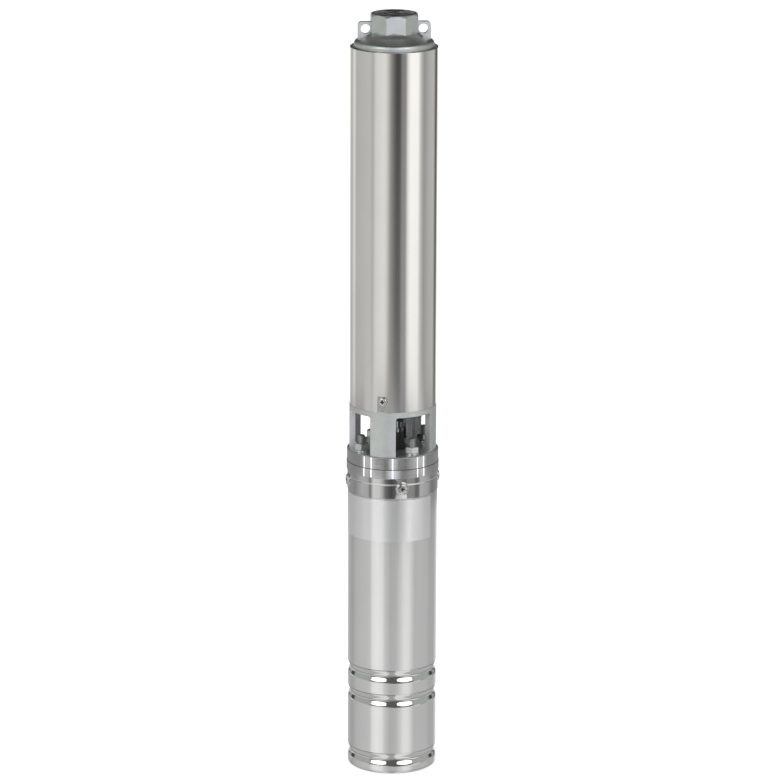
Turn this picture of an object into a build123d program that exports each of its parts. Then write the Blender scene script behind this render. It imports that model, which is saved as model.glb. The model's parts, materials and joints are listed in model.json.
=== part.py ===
from build123d import *

import os
from math import atan, cos, degrees, pi, radians, sin

os.makedirs("parts", exist_ok=True)

# Borehole submersible pump, standing on its motor. Millimetres, +Z up along the pump's axis.
# The origin is the middle of the motor's foot. The lifting ears lie along X, and -Y is the front.
# A turn is in degrees about +Z, counted from the front, and a radius is from the pump's axis.

# Fits, on the radius unless said otherwise
slip_gap = 0.05  # still pieces that slide into each other
running_gap = 0.05  # shafts in bushes and seals
clear_gap = 0.5  # turning pieces past still ones
rest_gap = 0.3  # curved skins that lie on each other

# Motor shell
shell_length = 322.0
shell_radius = 46.5
shell_wall = 1.0
collar_height = 22.0
collar_swell = 0.6
collar_slope = 0.8
foot_round = 3.0
foot_bore_radius = 40.0
foot_groove_height = 15.5
lower_groove_height = 80.5
upper_groove_height = 107.0
groove_depth = 2.0
groove_half_height = 7.0
shell_screw_drop = 10.5
shell_screw_turn = 7.8

# Motor flange, to the standard interface of a four inch motor
motor_flange_height = 10.0
motor_flange_radius = 48.0
pilot_radius = 43.65
pilot_height = 3.0
stud_circle_radius = 38.1
stud_radius = 4.0
stud_reach = 30.2
stud_sink = 12.0
shaft_projection = 38.1
bracket_spigot = 34.0
edge_chamfer = 0.6
seal_depth = 9.0
seal_wall = 5.0
cable_seat_depth = 12.0

# Motor shaft and its spline
shaft_radius = 8.0
journal_radius = 10.0
core_seat_radius = 11.0
spline_teeth = 14
spline_outer_radius = 7.94
spline_root_radius = 6.9
spline_space = 1.8
spline_length = 18.0
spline_gap = 0.1

# Motor bearings: two plain bushes, and a thrust disc on tilting pads
motor_bush_radius = 15.0
motor_bush_length = 22.0
thrust_radius = 22.0
thrust_disc_height = 8.0
pad_count = 6
pad_height = 5.0
pad_space = 3.0
pad_inner_radius = 11.0
carrier_height = 7.0
pivot_radius = 2.0
pivot_height = 1.0

# Stator, rotor and what closes the foot
bracket_margin = 9.0
stack_end_room = 34.0
stator_bore_radius = 24.6
air_gap = 0.5
slot_count = 12
tooth_tip = 3.4
back_iron = 7.4
slot_width = 7.0
slot_liner = 0.3
end_turn_height = 28.0
end_turn_inner_gap = 2.4
end_turn_outer_gap = 4.5
bar_count = 10
bar_width = 4.0
bar_inner_radius = 17.5
bar_outer_radius = 22.5
cage_ring_height = 7.0
cage_ring_inner_radius = 15.0
cover_height = 25.0
cover_floor = 4.0
breather_radius = 3.0
breather_place = 15.0
diaphragm_wall = 2.0

# Suction lantern
lantern_flange_radius = 47.6
lantern_flange_height = 13.0
lantern_step = 0.2
lantern_wall = 6.2
window_height = 41.5
window_arc = 55.0
window_round = 3.0
shoulder_height = 5.5
spigot_height = 18.0
spigot_wall = 4.0
plate_bore_radius = 17.0
post_turn = -18.0
cable_socket_radius = 4.6
cable_socket_place = 40.5
cable_socket_rise = 7.0
cable_socket_neck = 4.0
cable_plug_radius = 2.4
cable_plug_depth = 12.0
cable_slot_height = 30.0

# Nuts and washers on the motor's studs
nut_flats = 13.0
nut_height = 6.8
nut_turns = (-1.5, 20.0, 40.0, 28.5)
nut_chamfer = 0.7
stud_washer_radius = 7.2
stud_washer_height = 2.0

# Stage stack in the jacket
stage_count = 7
stage_pitch = 43.0
jacket_radius = 45.0
jacket_wall = 1.2
bowl_gap = 0.2
bowl_wall = 2.5
plate_thickness = 2.5
eye_radius = 16.0
neck_wall = 2.0
impeller_radius = 35.0
impeller_height = 14.0
shroud_thickness = 2.0
impeller_lift = 3.0
blade_thickness = 2.2
blade_count = 5
blade_wrap = 62.0
vane_count = 5
vane_wrap = -50.0
vane_thickness = 2.4
hub_radius = 9.0

# Pump shaft, its sleeves and its bushes
hex_flats = 11.0
hex_gap = 0.08
sleeve_radius = 8.0
bush_wall = 2.5
lower_bush_length = 14.0
upper_bush_length = 10.0
shaft_nut_height = 4.0
bearing_hub_radius = 14.5
rib_count = 6
rib_thickness = 3.0
first_rib_turn = 20.0
rib_foot_radius = 30.0
rib_foot_height = 8.0
rib_foot_rise = 2.0
hub_drop = 13.0
inlet_rim = 6.0
outlet_rim = 18.0

# Coupling and sand slinger
coupling_radius = 9.8
coupling_length = 29.0
coupling_collar_radius = 11.3
coupling_collar_height = 3.6
coupling_engagement = 11.0
slinger_base_radius = 14.5
slinger_wall = 1.8
slinger_float = 2.5
slinger_lap = 3.4

# Delivery head, with a bore as wide as the roots of its pipe thread
outlet_radius = 20.955
outlet_mouth_radius = 22.4
throat_radius = 18.5
thread_length = 22.0
octagon_flats = 47.4
octagon_height = 16.8
octagon_chamfer = 2.7
chamfer_inset = 0.4
fillet_reach = 7.3
fillet_drop = 6.7
fillet_hollow = 0.9
cone_rise = 3.5
cone_foot_radius = 38.0
dome_round = 5.0
dome_edge_gap = 2.8
dome_wall = 9.0
head_rise = 34.0
head_spigot = 31.0
ear_reach = 37.2
ear_hole_place = 29.5
ear_hole_radius = 4.9
ear_thickness = 5.0
ear_drop = 8.4
ear_hole_drop = 15.9
ear_round = 4.0
seal_ring_radius = 1.5
seal_rise = 6.0

# Check valve
valve_chamber_radius = 35.0
seat_thickness = 6.0
seat_bore_radius = 17.0
guide_height = 22.0
guide_ring_wall = 3.0
guide_hub_radius = 7.0
guide_hub_length = 10.0
guide_arm_width = 4.0
poppet_radius = 21.0
poppet_thickness = 3.0
poppet_seal_height = 2.0
stem_radius = 4.0
valve_travel = 8.0
spring_radius = 6.5
spring_wire = 1.2
spring_turns = 4

# Screws
pan_head_radius = 4.65
pan_head_height = 2.4
pan_shank_radius = 2.5
pan_shank_length = 7.0
screw_flat_width = 11.5
screw_flat_height = 17.0
jacket_screw_rise = 11.7
shell_screw_radius = 2.5
shell_screw_length = 11.0
shell_screw_head_radius = 4.3
dished_washer_radius = 6.9
dished_washer_rim = 0.5
dished_washer_height = 2.05

# Cable guard along the back
guard_inside_half_width = 9.5
guard_depth = 4.0
guard_sheet = 1.0
guard_foot_turn = 27.0
guard_end_drop = 6.0
guard_screw_turn = 20.5

# Nameplate
plate_arc = 145.7
plate_turn = -19.7
plate_height = 44.5
plate_drop = 1.5
plate_sheet = 0.15

# Heights that follow from the sizes above
mount_face = shell_length + motor_flange_height
pilot_top = mount_face + pilot_height
flange_top = mount_face + lantern_flange_height
window_top = flange_top + window_height
shoulder = window_top + shoulder_height
spigot_top = shoulder + spigot_height
stack_bottom = spigot_top + inlet_rim
stack_top = stack_bottom + stage_count * stage_pitch
head_bottom = stack_top + outlet_rim
jacket_top = head_bottom + head_spigot
head_top = jacket_top + head_rise
shaft_top = mount_face + shaft_projection
bore_radius = jacket_radius - jacket_wall
lantern_radius = jacket_radius + lantern_step
fit_inset = shell_wall + slip_gap
guard_turn = post_turn + 180
stud_turns = [post_turn + 45 + 90 * k for k in range(4)]


def disc(radius, bottom, top):
    """A solid cylinder about the pump's axis."""
    return Pos(0, 0, bottom) * Cylinder(radius, top - bottom, align=(Align.CENTER, Align.CENTER, Align.MIN))


def ring(outer, inner, bottom, top):
    """A plain ring about the pump's axis."""
    return disc(outer, bottom, top) - disc(inner, bottom - 1, top + 1)


def turned(*points):
    """A solid turned about the pump's axis from the (radius, height) corners of its half section."""
    return revolve(Plane.XZ * make_face(Polyline(*points, close=True)), Axis.Z)


def prism(flats, sides, bottom, top, turn=0.0):
    """A regular prism on the pump's axis with a flat facing the front."""
    radius = flats / 2 / cos(radians(180 / sides))
    outline = Rot(0, 0, turn - 90 + 180 / sides) * RegularPolygon(radius, sides)
    return Pos(0, 0, bottom) * extrude(outline, top - bottom)


def slab(width, near, far, bottom, top):
    """A block across the front side, from one distance to a further one."""
    box = Box(width, far - near, top - bottom, align=(Align.CENTER, Align.MAX, Align.MIN))
    return Pos(0, -near, bottom) * box


def facing(radius, near, far, height, side=0.0):
    """A cylinder that points away from the axis towards the front."""
    rod = Cylinder(radius, far - near, align=(Align.CENTER, Align.CENTER, Align.MIN))
    return Pos(side, -near, height) * Rot(90, 0, 0) * rod


def upright(radius, place, bottom, top):
    """A cylinder that stands at the front, at a distance from the axis."""
    return Pos(0, -place, 0) * disc(radius, bottom, top)


def around(piece, turns):
    """Copies of a piece drawn at the front, one at each turn."""
    return [Rot(0, 0, turn) * piece for turn in turns]


def evenly(count, first=0.0):
    """Turns that share the circle evenly."""
    return [first + 360 * k / count for k in range(count)]


def save(name, *solids):
    """Writes one node, from one solid or a group of separate solids."""
    shape = solids[0] if len(solids) == 1 else Compound(children=list(solids))
    export_step(shape, f"parts/{name}.step")


# Motor shell: one rolled tube with a swollen collar, three rolled grooves and a turned-in foot

groove_angle = 2 * degrees(atan(groove_depth / groove_half_height))
groove_arc = groove_half_height / 2 / sin(radians(groove_angle))


def rolled_grooves(start, side):
    """The shell's outer line up to its last groove: straight lengths, and grooves of tangent arcs."""
    path = []
    for height in (foot_groove_height, lower_groove_height, upper_groove_height):
        path.append(Line(start, (side, height - groove_half_height)))
        path.append(JernArc(path[-1] @ 1, (0, 1), groove_arc, groove_angle))
        path.append(JernArc(path[-1] @ 1, path[-1] % 1, groove_arc, -2 * groove_angle))
        path.append(JernArc(path[-1] @ 1, path[-1] % 1, groove_arc, groove_angle))
        start = path[-1] @ 1
    return path


def shell_line(side, start, grooves):
    """The half section inside one of the shell's skins, from the path along its grooves."""
    collar_start = shell_length - collar_height
    corners = [
        grooves[-1] @ 1,
        (side, collar_start),
        (side + collar_swell, collar_start + collar_slope),
        (side + collar_swell, shell_length),
        (0, shell_length),
        (0, start),
    ]
    return grooves + [Polyline(*corners)]


def shell_solid():
    """The solid inside the shell's outer skin."""
    path = [Line((0, 0), (shell_radius - foot_round, 0))]
    path.append(JernArc(path[-1] @ 1, (1, 0), foot_round, 90))
    path += rolled_grooves(path[-1] @ 1, shell_radius)
    return revolve(Plane.XZ * make_face(shell_line(shell_radius, 0, path)), Axis.Z)


def shell_space(inset):
    """The solid inside the shell's inner skin, which follows the grooves as plain ridges."""
    side = shell_radius - inset
    corners = [(0, inset), (side - foot_round + inset, inset), (side, foot_round)]
    for height in (foot_groove_height, lower_groove_height, upper_groove_height):
        corners += [(side, height - groove_half_height), (side - groove_depth, height)]
        corners.append((side, height + groove_half_height))
    path = [Polyline(*corners)]
    return revolve(Plane.XZ * make_face(shell_line(side, inset, path)), Axis.Z)


shell_screw_height = shell_length - shell_screw_drop
collar_radius = shell_radius + collar_swell
shell_screw_turns = evenly(4, shell_screw_turn)
shell_room = shell_space(fit_inset)

motor_shell = shell_solid() - shell_space(shell_wall)
motor_shell -= disc(foot_bore_radius, -1, shell_wall + 1)
shell_hole = facing(shell_screw_radius + slip_gap, collar_radius / 2, collar_radius + 1, shell_screw_height)
for hole in around(shell_hole, shell_screw_turns):
    motor_shell -= hole
save("motor_shell", motor_shell)


# Motor top bracket: spigot in the shell, flange, pilot, bush seat and seal seat

bracket_bottom = shell_length - bracket_spigot
seal_radius = shaft_radius + seal_wall
seal_bottom = pilot_top - seal_depth
bush_seat_top = bracket_bottom + motor_bush_length
cable_turn = guard_turn

motor_bracket = shell_room & disc(shell_radius * 2, bracket_bottom, shell_length)
flange = disc(motor_flange_radius, shell_length, mount_face)
flange = chamfer(flange.edges().filter_by(GeomType.CIRCLE), edge_chamfer)
motor_bracket += flange + disc(pilot_radius, mount_face, pilot_top)
motor_bracket -= disc(motor_bush_radius, bracket_bottom - 1, bush_seat_top)
motor_bracket -= disc(shaft_radius + clear_gap, bush_seat_top - 1, pilot_top + 1)
motor_bracket -= disc(journal_radius + clear_gap, bush_seat_top - 1, bush_seat_top + 2)
motor_bracket -= disc(seal_radius, seal_bottom, pilot_top + 1)
stud_hole = upright(stud_radius, stud_circle_radius, mount_face - stud_sink, pilot_top + 1)
screw_hole = facing(shell_screw_radius, collar_radius - shell_screw_length, collar_radius, shell_screw_height)
cable_hole = upright(cable_socket_radius, cable_socket_place, mount_face - cable_seat_depth, pilot_top + 1)
cuts = around(stud_hole, stud_turns) + around(screw_hole, shell_screw_turns)
cuts += around(cable_hole, [cable_turn])
for cut in cuts:
    motor_bracket -= cut
save("motor_bracket", motor_bracket)

seal_lip = turned(
    (shaft_radius + running_gap, seal_bottom + 3),
    (seal_radius - slip_gap, seal_bottom),
    (seal_radius - slip_gap, pilot_top),
    (shaft_radius + running_gap, pilot_top - 2),
)
save("shaft_seal", seal_lip)


# Cable socket: a rubber plug in the bracket, open on top for the lead

socket_top = flange_top + cable_socket_rise
socket_neck = socket_top - cable_socket_neck
socket_bottom = mount_face - cable_seat_depth
socket = upright(cable_socket_radius - slip_gap, cable_socket_place, socket_bottom, socket_neck)
socket += upright(cable_socket_radius - 1, cable_socket_place, socket_neck, socket_top)
socket -= upright(cable_plug_radius, cable_socket_place, socket_top - cable_plug_depth, socket_top + 1)
save("cable_socket", *around(socket, [cable_turn]))


# Shell screws with their dished washers

washer_seat = collar_radius
washer_top = washer_seat + dished_washer_height


def outward(*points):
    """A solid turned about an axis that points out to the front at the shell screws' height."""
    return Pos(0, 0, shell_screw_height) * Rot(90, 0, 0) * turned(*points)


dished_washer = outward(
    (shell_screw_radius + slip_gap, washer_seat),
    (dished_washer_radius, washer_seat),
    (dished_washer_radius, washer_seat + dished_washer_rim),
    (shell_screw_head_radius + 0.8, washer_top),
    (shell_screw_head_radius + slip_gap, washer_top),
)
save("screw_washers", *around(dished_washer, shell_screw_turns))

shell_screw = outward(
    (0, washer_seat + 1 - shell_screw_length),
    (shell_screw_radius - slip_gap, washer_seat + 1 - shell_screw_length),
    (shell_screw_radius - slip_gap, washer_seat),
    (shell_screw_head_radius, washer_top),
    (0, washer_top),
)
save("shell_screws", *around(shell_screw, shell_screw_turns))


# Motor bearings: a plain bush in each bracket, and the thrust disc on its ring of tilting pads

lower_bracket_bottom = lower_groove_height - bracket_margin
lower_bracket_top = upper_groove_height + bracket_margin
lower_bush_seat = lower_bracket_top - motor_bush_length
carrier_top = lower_bracket_bottom + carrier_height
pads_bottom = carrier_top + pivot_height
pads_top = pads_bottom + pad_height
thrust_top = pads_top + thrust_disc_height
carrier_radius = thrust_radius + 1.5


def motor_bush(bottom):
    """A plain bush for one of the motor shaft's journals."""
    top = bottom + motor_bush_length
    return ring(motor_bush_radius - slip_gap, journal_radius + running_gap, bottom, top)


save("upper_motor_bush", motor_bush(bracket_bottom))
save("lower_motor_bush", motor_bush(lower_bush_seat))
save("thrust_disc", ring(thrust_radius, journal_radius, pads_top, thrust_top))

pad = ring(thrust_radius, pad_inner_radius, pads_bottom, pads_top)
pad_cut = slab(pad_space, 0, thrust_radius + 1, pads_bottom - 1, pads_top + 1)
for cut in around(pad_cut, evenly(pad_count)):
    pad -= cut
save("thrust_pads", *pad.solids())

carrier = disc(carrier_radius - slip_gap, lower_bracket_bottom, carrier_top)
pivot = upright(pivot_radius, (thrust_radius + pad_inner_radius) / 2, carrier_top - 1, pads_bottom)
for copy in around(pivot, evenly(pad_count, 180 / pad_count)):
    carrier += copy
save("thrust_carrier", carrier)


# Stator stack and its windings

stack_low = lower_bracket_top + stack_end_room
stack_high = bracket_bottom - stack_end_room
stator_radius = shell_radius - fit_inset
slot_inner_radius = stator_bore_radius + tooth_tip
slot_outer_radius = stator_radius - back_iron
end_turn_inner_radius = stator_bore_radius + end_turn_inner_gap
end_turn_outer_radius = stator_radius - end_turn_outer_gap

stator_core = ring(stator_radius, stator_bore_radius, stack_low, stack_high)
slot = slab(slot_width, slot_inner_radius, slot_outer_radius, stack_low - 1, stack_high + 1)
for cut in around(slot, evenly(slot_count)):
    stator_core -= cut
save("stator_core", stator_core)

coil_side = slab(
    slot_width - 2 * slot_liner,
    slot_inner_radius + slot_liner,
    slot_outer_radius - slot_liner,
    stack_low - 2,
    stack_high + 2,
)
end_turns_high = stack_high + 1
end_turns_low = stack_low - 1 - end_turn_height
windings = ring(
    end_turn_outer_radius, end_turn_inner_radius, end_turns_high, end_turns_high + end_turn_height
)
windings += ring(
    end_turn_outer_radius, end_turn_inner_radius, end_turns_low, end_turns_low + end_turn_height
)
for side in around(coil_side, evenly(slot_count)):
    windings += side
save("stator_windings", windings)


# Rotor: shaft, core and cage

spline_start = shaft_top - spline_length
motor_shaft = turned(
    (0, pads_top),
    (journal_radius, pads_top),
    (journal_radius, lower_bracket_top + 1),
    (core_seat_radius, lower_bracket_top + 1),
    (core_seat_radius, bracket_bottom - 1),
    (journal_radius, bracket_bottom - 1),
    (journal_radius, bush_seat_top + 1),
    (shaft_radius, bush_seat_top + 1),
    (shaft_radius, spline_start),
    (spline_outer_radius, spline_start),
    (spline_outer_radius, shaft_top),
    (0, shaft_top),
)


def spline_spaces(width, inner, outer, bottom, top, first=0.0):
    """The spaces between a spline's teeth, one for each tooth."""
    return around(slab(width, inner, outer, bottom, top), evenly(spline_teeth, first))


spline_depth = (spline_root_radius, spline_outer_radius + 1)
for cut in spline_spaces(spline_space, *spline_depth, spline_start + 3, shaft_top + 1):
    motor_shaft -= cut
save("motor_shaft", motor_shaft)

rotor_radius = stator_bore_radius - air_gap
rotor_core = ring(rotor_radius, core_seat_radius, stack_low, stack_high)
rotor_bar = slab(bar_width, bar_inner_radius, bar_outer_radius, stack_low - 1, stack_high + 1)
for cut in around(rotor_bar, evenly(bar_count)):
    rotor_core -= cut
save("rotor_core", rotor_core)

rotor_cage = ring(rotor_radius, cage_ring_inner_radius, stack_high, stack_high + cage_ring_height)
rotor_cage += ring(rotor_radius, cage_ring_inner_radius, stack_low - cage_ring_height, stack_low)
for bar in around(rotor_bar, evenly(bar_count)):
    rotor_cage += bar
save("rotor_cage", rotor_cage)


# Foot: lower bracket in the two upper grooves, diaphragm, and the cover that the turned-in foot holds

lower_bracket = shell_room & disc(shell_radius * 2, lower_bracket_bottom, lower_bracket_top)
lower_bracket -= disc(carrier_radius, lower_bracket_bottom - 1, thrust_top + 1)
lower_bracket -= disc(motor_bush_radius, thrust_top, lower_bracket_top + 1)
save("lower_bracket", lower_bracket)

cover_bottom = fit_inset
bottom_cover = shell_room & disc(shell_radius * 2, cover_bottom, cover_height)
bottom_cover += disc(foot_bore_radius - slip_gap, 0, cover_bottom + 1)
bottom_cover -= disc(foot_bore_radius - 4, cover_bottom + cover_floor, cover_height + 1)
breather = upright(breather_radius, breather_place, -1, cover_height)
for cut in around(breather, evenly(3)):
    bottom_cover -= cut
save("bottom_cover", bottom_cover)

diaphragm_radius = shell_radius - fit_inset
diaphragm = turned(
    (0, lower_bracket_bottom - 4 - diaphragm_wall),
    (diaphragm_radius - 9 - diaphragm_wall, lower_bracket_bottom - 4 - diaphragm_wall),
    (diaphragm_radius - 5 - diaphragm_wall, cover_height),
    (diaphragm_radius, cover_height),
    (diaphragm_radius, cover_height + diaphragm_wall),
    (diaphragm_radius - 5, cover_height + diaphragm_wall),
    (diaphragm_radius - 9, lower_bracket_bottom - 4),
    (0, lower_bracket_bottom - 4),
)
save("diaphragm", diaphragm)


# Nameplate: a thin bare plate wrapped round the shell under the collar

plate_top = shell_length - collar_height - plate_drop
plate_face = Pos(shell_radius + slip_gap, plate_top - plate_height) * Rectangle(
    plate_sheet, plate_height, align=(Align.MIN, Align.MIN)
)
nameplate = revolve(Plane.XZ * plate_face, Axis.Z, revolution_arc=plate_arc)
save("nameplate", Rot(0, 0, plate_turn - 90 - plate_arc / 2) * nameplate)


# Suction lantern: flange, four posts between the windows, shoulder and spigot

register_top = pilot_top + 0.2
lantern = disc(lantern_flange_radius, mount_face, flange_top)
lantern = chamfer(lantern.edges().filter_by(GeomType.CIRCLE).group_by(Axis.Z)[-1], 2 * edge_chamfer)
lantern += ring(lantern_radius, lantern_radius - lantern_wall, flange_top, shoulder)
lantern += ring(bore_radius - slip_gap, bore_radius - spigot_wall, shoulder - 1, spigot_top)
lantern -= disc(pilot_radius + slip_gap, mount_face - 1, register_top)
lantern -= disc(plate_bore_radius, mount_face, flange_top + 1)

window_face = Pos(plate_bore_radius, flange_top) * Rectangle(
    lantern_radius, window_height, align=(Align.MIN, Align.MIN)
)
window = Rot(0, 0, -90 - window_arc / 2) * revolve(Plane.XZ * window_face, Axis.Z, revolution_arc=window_arc)
window_corners = window.edges().filter_by(GeomType.LINE).filter_by(Axis.Z, reverse=True).group_by(Axis.Z)[-1]
window = fillet(window_corners, window_round)
lantern_hole = upright(stud_radius + 0.2, stud_circle_radius, mount_face, flange_top + 1)
cable_slot = slab(
    2 * cable_socket_radius + 1, cable_socket_place - 5.5, lantern_flange_radius + 1, mount_face - 1,
    mount_face + cable_slot_height,
)
pan_hole = facing(pan_shank_radius, lantern_radius / 2, lantern_radius + 1, shoulder + jacket_screw_rise)
guard_screw_turns = [guard_turn - guard_screw_turn, guard_turn + guard_screw_turn]
cuts = around(window, stud_turns) + around(lantern_hole, stud_turns) + around(cable_slot, [cable_turn])
cuts += around(pan_hole, [post_turn] + guard_screw_turns)
for cut in cuts:
    lantern -= cut
save("suction_lantern", lantern)


# Studs, washers and nuts that hold the lantern on the motor

nut_bottom = flange_top + stud_washer_height
stud_foot = mount_face - stud_sink + 1
stud = upright(stud_radius - slip_gap, stud_circle_radius, stud_foot, mount_face + stud_reach)
stud = chamfer(stud.edges().group_by(Axis.Z)[-1], edge_chamfer)
save("motor_studs", *around(stud, stud_turns))

stud_washer = upright(stud_washer_radius, stud_circle_radius, flange_top, nut_bottom)
stud_washer -= upright(stud_radius, stud_circle_radius, mount_face, nut_bottom + 1)
save("stud_washers", *around(stud_washer, stud_turns))

nut = prism(nut_flats, 6, nut_bottom, nut_bottom + nut_height)
nut &= turned(
    (0, nut_bottom),
    (nut_flats * 0.6, nut_bottom),
    (nut_flats * 0.6, nut_bottom + nut_height - nut_chamfer),
    (nut_flats / 2, nut_bottom + nut_height),
    (0, nut_bottom + nut_height),
)
nut -= disc(stud_radius, nut_bottom - 1, nut_bottom + nut_height + 1)
nuts = []
for nut_turn, stud_turn in zip(nut_turns, stud_turns):
    nuts += around(Pos(0, -stud_circle_radius, 0) * Rot(0, 0, nut_turn) * nut, [stud_turn])
save("stud_nuts", *nuts)


# Sand slinger and coupling

coupling_bottom = shaft_top - coupling_engagement
coupling_top = coupling_bottom + coupling_length
slinger_bottom = pilot_top + slinger_float
slinger_top = coupling_bottom + slinger_lap
slinger = turned(
    (shaft_radius, coupling_bottom - 8),
    (slinger_base_radius - slinger_wall, slinger_bottom),
    (slinger_base_radius, slinger_bottom),
    (slinger_base_radius - 1.2, slinger_bottom + 6),
    (coupling_collar_radius, coupling_bottom - 6),
    (coupling_collar_radius - 0.6, slinger_top),
    (coupling_radius + slip_gap, slinger_top),
    (coupling_radius + slip_gap, coupling_bottom),
    (shaft_radius, coupling_bottom),
)
save("sand_slinger", slinger)

coupling = disc(coupling_radius, coupling_bottom, coupling_top)
coupling += disc(coupling_collar_radius, slinger_top, slinger_top + coupling_collar_height)
coupling -= disc(spline_root_radius + spline_gap, coupling_bottom - 1, shaft_top + 1)
spline_tooth = 2 * pi * spline_outer_radius / spline_teeth - spline_space + 2 * spline_gap
spline_reach = (spline_root_radius - 1, spline_outer_radius + spline_gap)
for cut in spline_spaces(spline_tooth, *spline_reach, coupling_bottom - 1, shaft_top + 1, 180 / spline_teeth):
    coupling -= cut
pump_shaft_bottom = shaft_top + 3
coupling -= prism(hex_flats + 2 * hex_gap, 6, pump_shaft_bottom, coupling_top + 1)
save("shaft_coupling", coupling)


# Pump shaft with its sleeves and the nut that holds the impellers

impeller_seat = stack_bottom + impeller_lift
hubs_top = impeller_seat + stage_count * stage_pitch
sleeve_top = hubs_top + upper_bush_length
pump_shaft_top = sleeve_top + shaft_nut_height + 1
pump_shaft = prism(hex_flats, 6, pump_shaft_bottom, pump_shaft_top)
save("pump_shaft", pump_shaft)


def hex_sleeve(radius, bottom, top):
    """A round sleeve that slides on the shaft's hexagon."""
    return disc(radius, bottom, top) - prism(hex_flats + 2 * hex_gap, 6, bottom - 1, top + 1)


save("lower_sleeve", hex_sleeve(sleeve_radius, coupling_top, impeller_seat))
save("upper_sleeve", hex_sleeve(sleeve_radius, hubs_top, sleeve_top))
shaft_nut = prism(2 * sleeve_radius, 6, sleeve_top, sleeve_top + shaft_nut_height)
save("shaft_nut", shaft_nut - prism(hex_flats + 2 * hex_gap, 6, sleeve_top - 1, pump_shaft_top + 1))


# Inlet holder: the lower bush in a ribbed hub under the first stage

bush_radius = sleeve_radius + bush_wall
stack_radius = bore_radius - bowl_gap
eye_hole_radius = eye_radius + clear_gap
lower_bush_bottom = coupling_top + 2
lower_bush_top = lower_bush_bottom + lower_bush_length
hub_bottom = coupling_top - hub_drop
rib_foot = hub_bottom + rib_foot_rise
rib_wall_radius = bore_radius - spigot_wall - 1.5
inlet_holder = ring(stack_radius, bore_radius - spigot_wall, spigot_top, stack_bottom)
inlet_holder += ring(stack_radius, eye_hole_radius, stack_bottom - plate_thickness, stack_bottom)
hub = disc(bearing_hub_radius, hub_bottom, lower_bush_top)
rib = Plane.YZ * make_face(
    Polyline(
        (-bearing_hub_radius + 2, hub_bottom),
        (-rib_foot_radius, rib_foot),
        (-rib_foot_radius, rib_foot + rib_foot_height),
        (-rib_wall_radius, shoulder + 2),
        (-rib_wall_radius, stack_bottom - 1),
        (-bearing_hub_radius - 6, stack_bottom - 1),
        (-bearing_hub_radius - 6, lower_bush_top),
        (-bearing_hub_radius + 2, lower_bush_top),
        close=True,
    )
)
for rib_copy in around(extrude(rib, rib_thickness / 2, both=True), evenly(rib_count, first_rib_turn)):
    hub += rib_copy
inlet_holder += hub
inlet_holder -= disc(coupling_radius + 1, hub_bottom - 1, coupling_top + 1)
inlet_holder -= disc(bush_radius, lower_bush_bottom, lower_bush_top + 1)
inlet_holder -= disc(sleeve_radius + clear_gap, coupling_top, lower_bush_top)
save("inlet_holder", inlet_holder)


def bush(bottom, top):
    """A plain bush round a sleeve."""
    return ring(bush_radius - slip_gap, sleeve_radius + running_gap, bottom, top)


save("lower_bush", bush(lower_bush_bottom, lower_bush_top))


# Stages: each has a shrouded impeller in a bowl whose vanes lead the water to the next eye


def curved_blade(inner, outer, wrap, thickness, bottom, top):
    """One upright blade that bends round the axis between two radii."""
    start = Vector(0, -inner)
    end = Vector(0, -outer).rotate(Axis.Z, wrap)
    middle = Vector(0, -(inner + outer) / 2).rotate(Axis.Z, wrap * 0.62)
    line = ThreePointArc(start, middle, end)
    return Pos(0, 0, bottom) * extrude(trace(line, thickness), top - bottom)


def impeller(base):
    """Two shrouds with backswept blades between them, an eye neck below, and a hub up to the next one."""
    low = base + impeller_lift
    high = low + impeller_height
    shape = ring(impeller_radius, eye_radius - neck_wall, low, low + shroud_thickness)
    shape += ring(eye_radius, eye_radius - neck_wall, low - impeller_lift - plate_thickness + 0.5, low)
    shape += disc(impeller_radius, high - shroud_thickness, high)
    shape += disc(hub_radius, low, low + stage_pitch)
    blade = curved_blade(
        eye_radius, impeller_radius - blade_thickness / 2, blade_wrap, blade_thickness, low + 1, high - 1
    )
    for copy in around(blade, evenly(blade_count)):
        shape += copy
    return shape - prism(hex_flats + 2 * hex_gap, 6, low - 1, low + stage_pitch + 1)


def diffuser(base):
    """A bowl with a floor plate over the impeller, return vanes on it and a top plate with the next eye."""
    top = base + stage_pitch
    floor = base + impeller_lift + impeller_height + 2
    shape = ring(stack_radius, stack_radius - bowl_wall, base, top)
    shape += ring(stack_radius - 1, eye_hole_radius, top - plate_thickness, top)
    shape += ring(impeller_radius + 1, hub_radius + clear_gap, floor, floor + plate_thickness)
    vane = curved_blade(
        eye_hole_radius + 1, stack_radius - bowl_wall / 2, vane_wrap, vane_thickness, floor + 1, top - 1
    )
    for copy in around(vane, evenly(vane_count)):
        shape += copy
    return shape


for stage in range(stage_count):
    stage_base = stack_bottom + stage * stage_pitch
    save(f"impeller_{stage + 1}", impeller(stage_base))
    save(f"diffuser_{stage + 1}", diffuser(stage_base))


# Outlet holder: the upper bush in a spider over the last stage

upper_bush_top = hubs_top + upper_bush_length
outlet_holder = ring(stack_radius, valve_chamber_radius - guide_ring_wall, stack_top, head_bottom)
spider = disc(bearing_hub_radius, hubs_top, upper_bush_top)
arm = slab(rib_thickness, bearing_hub_radius - 2, valve_chamber_radius, hubs_top, upper_bush_top)
for copy in around(arm, evenly(rib_count)):
    spider += copy
outlet_holder += spider
outlet_holder -= disc(bush_radius, hubs_top - 1, upper_bush_top + 1)
save("outlet_holder", outlet_holder)
save("upper_bush", bush(hubs_top, upper_bush_top))


# Jacket: the tube round the stages, with a pressed flat under its front screw

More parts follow.
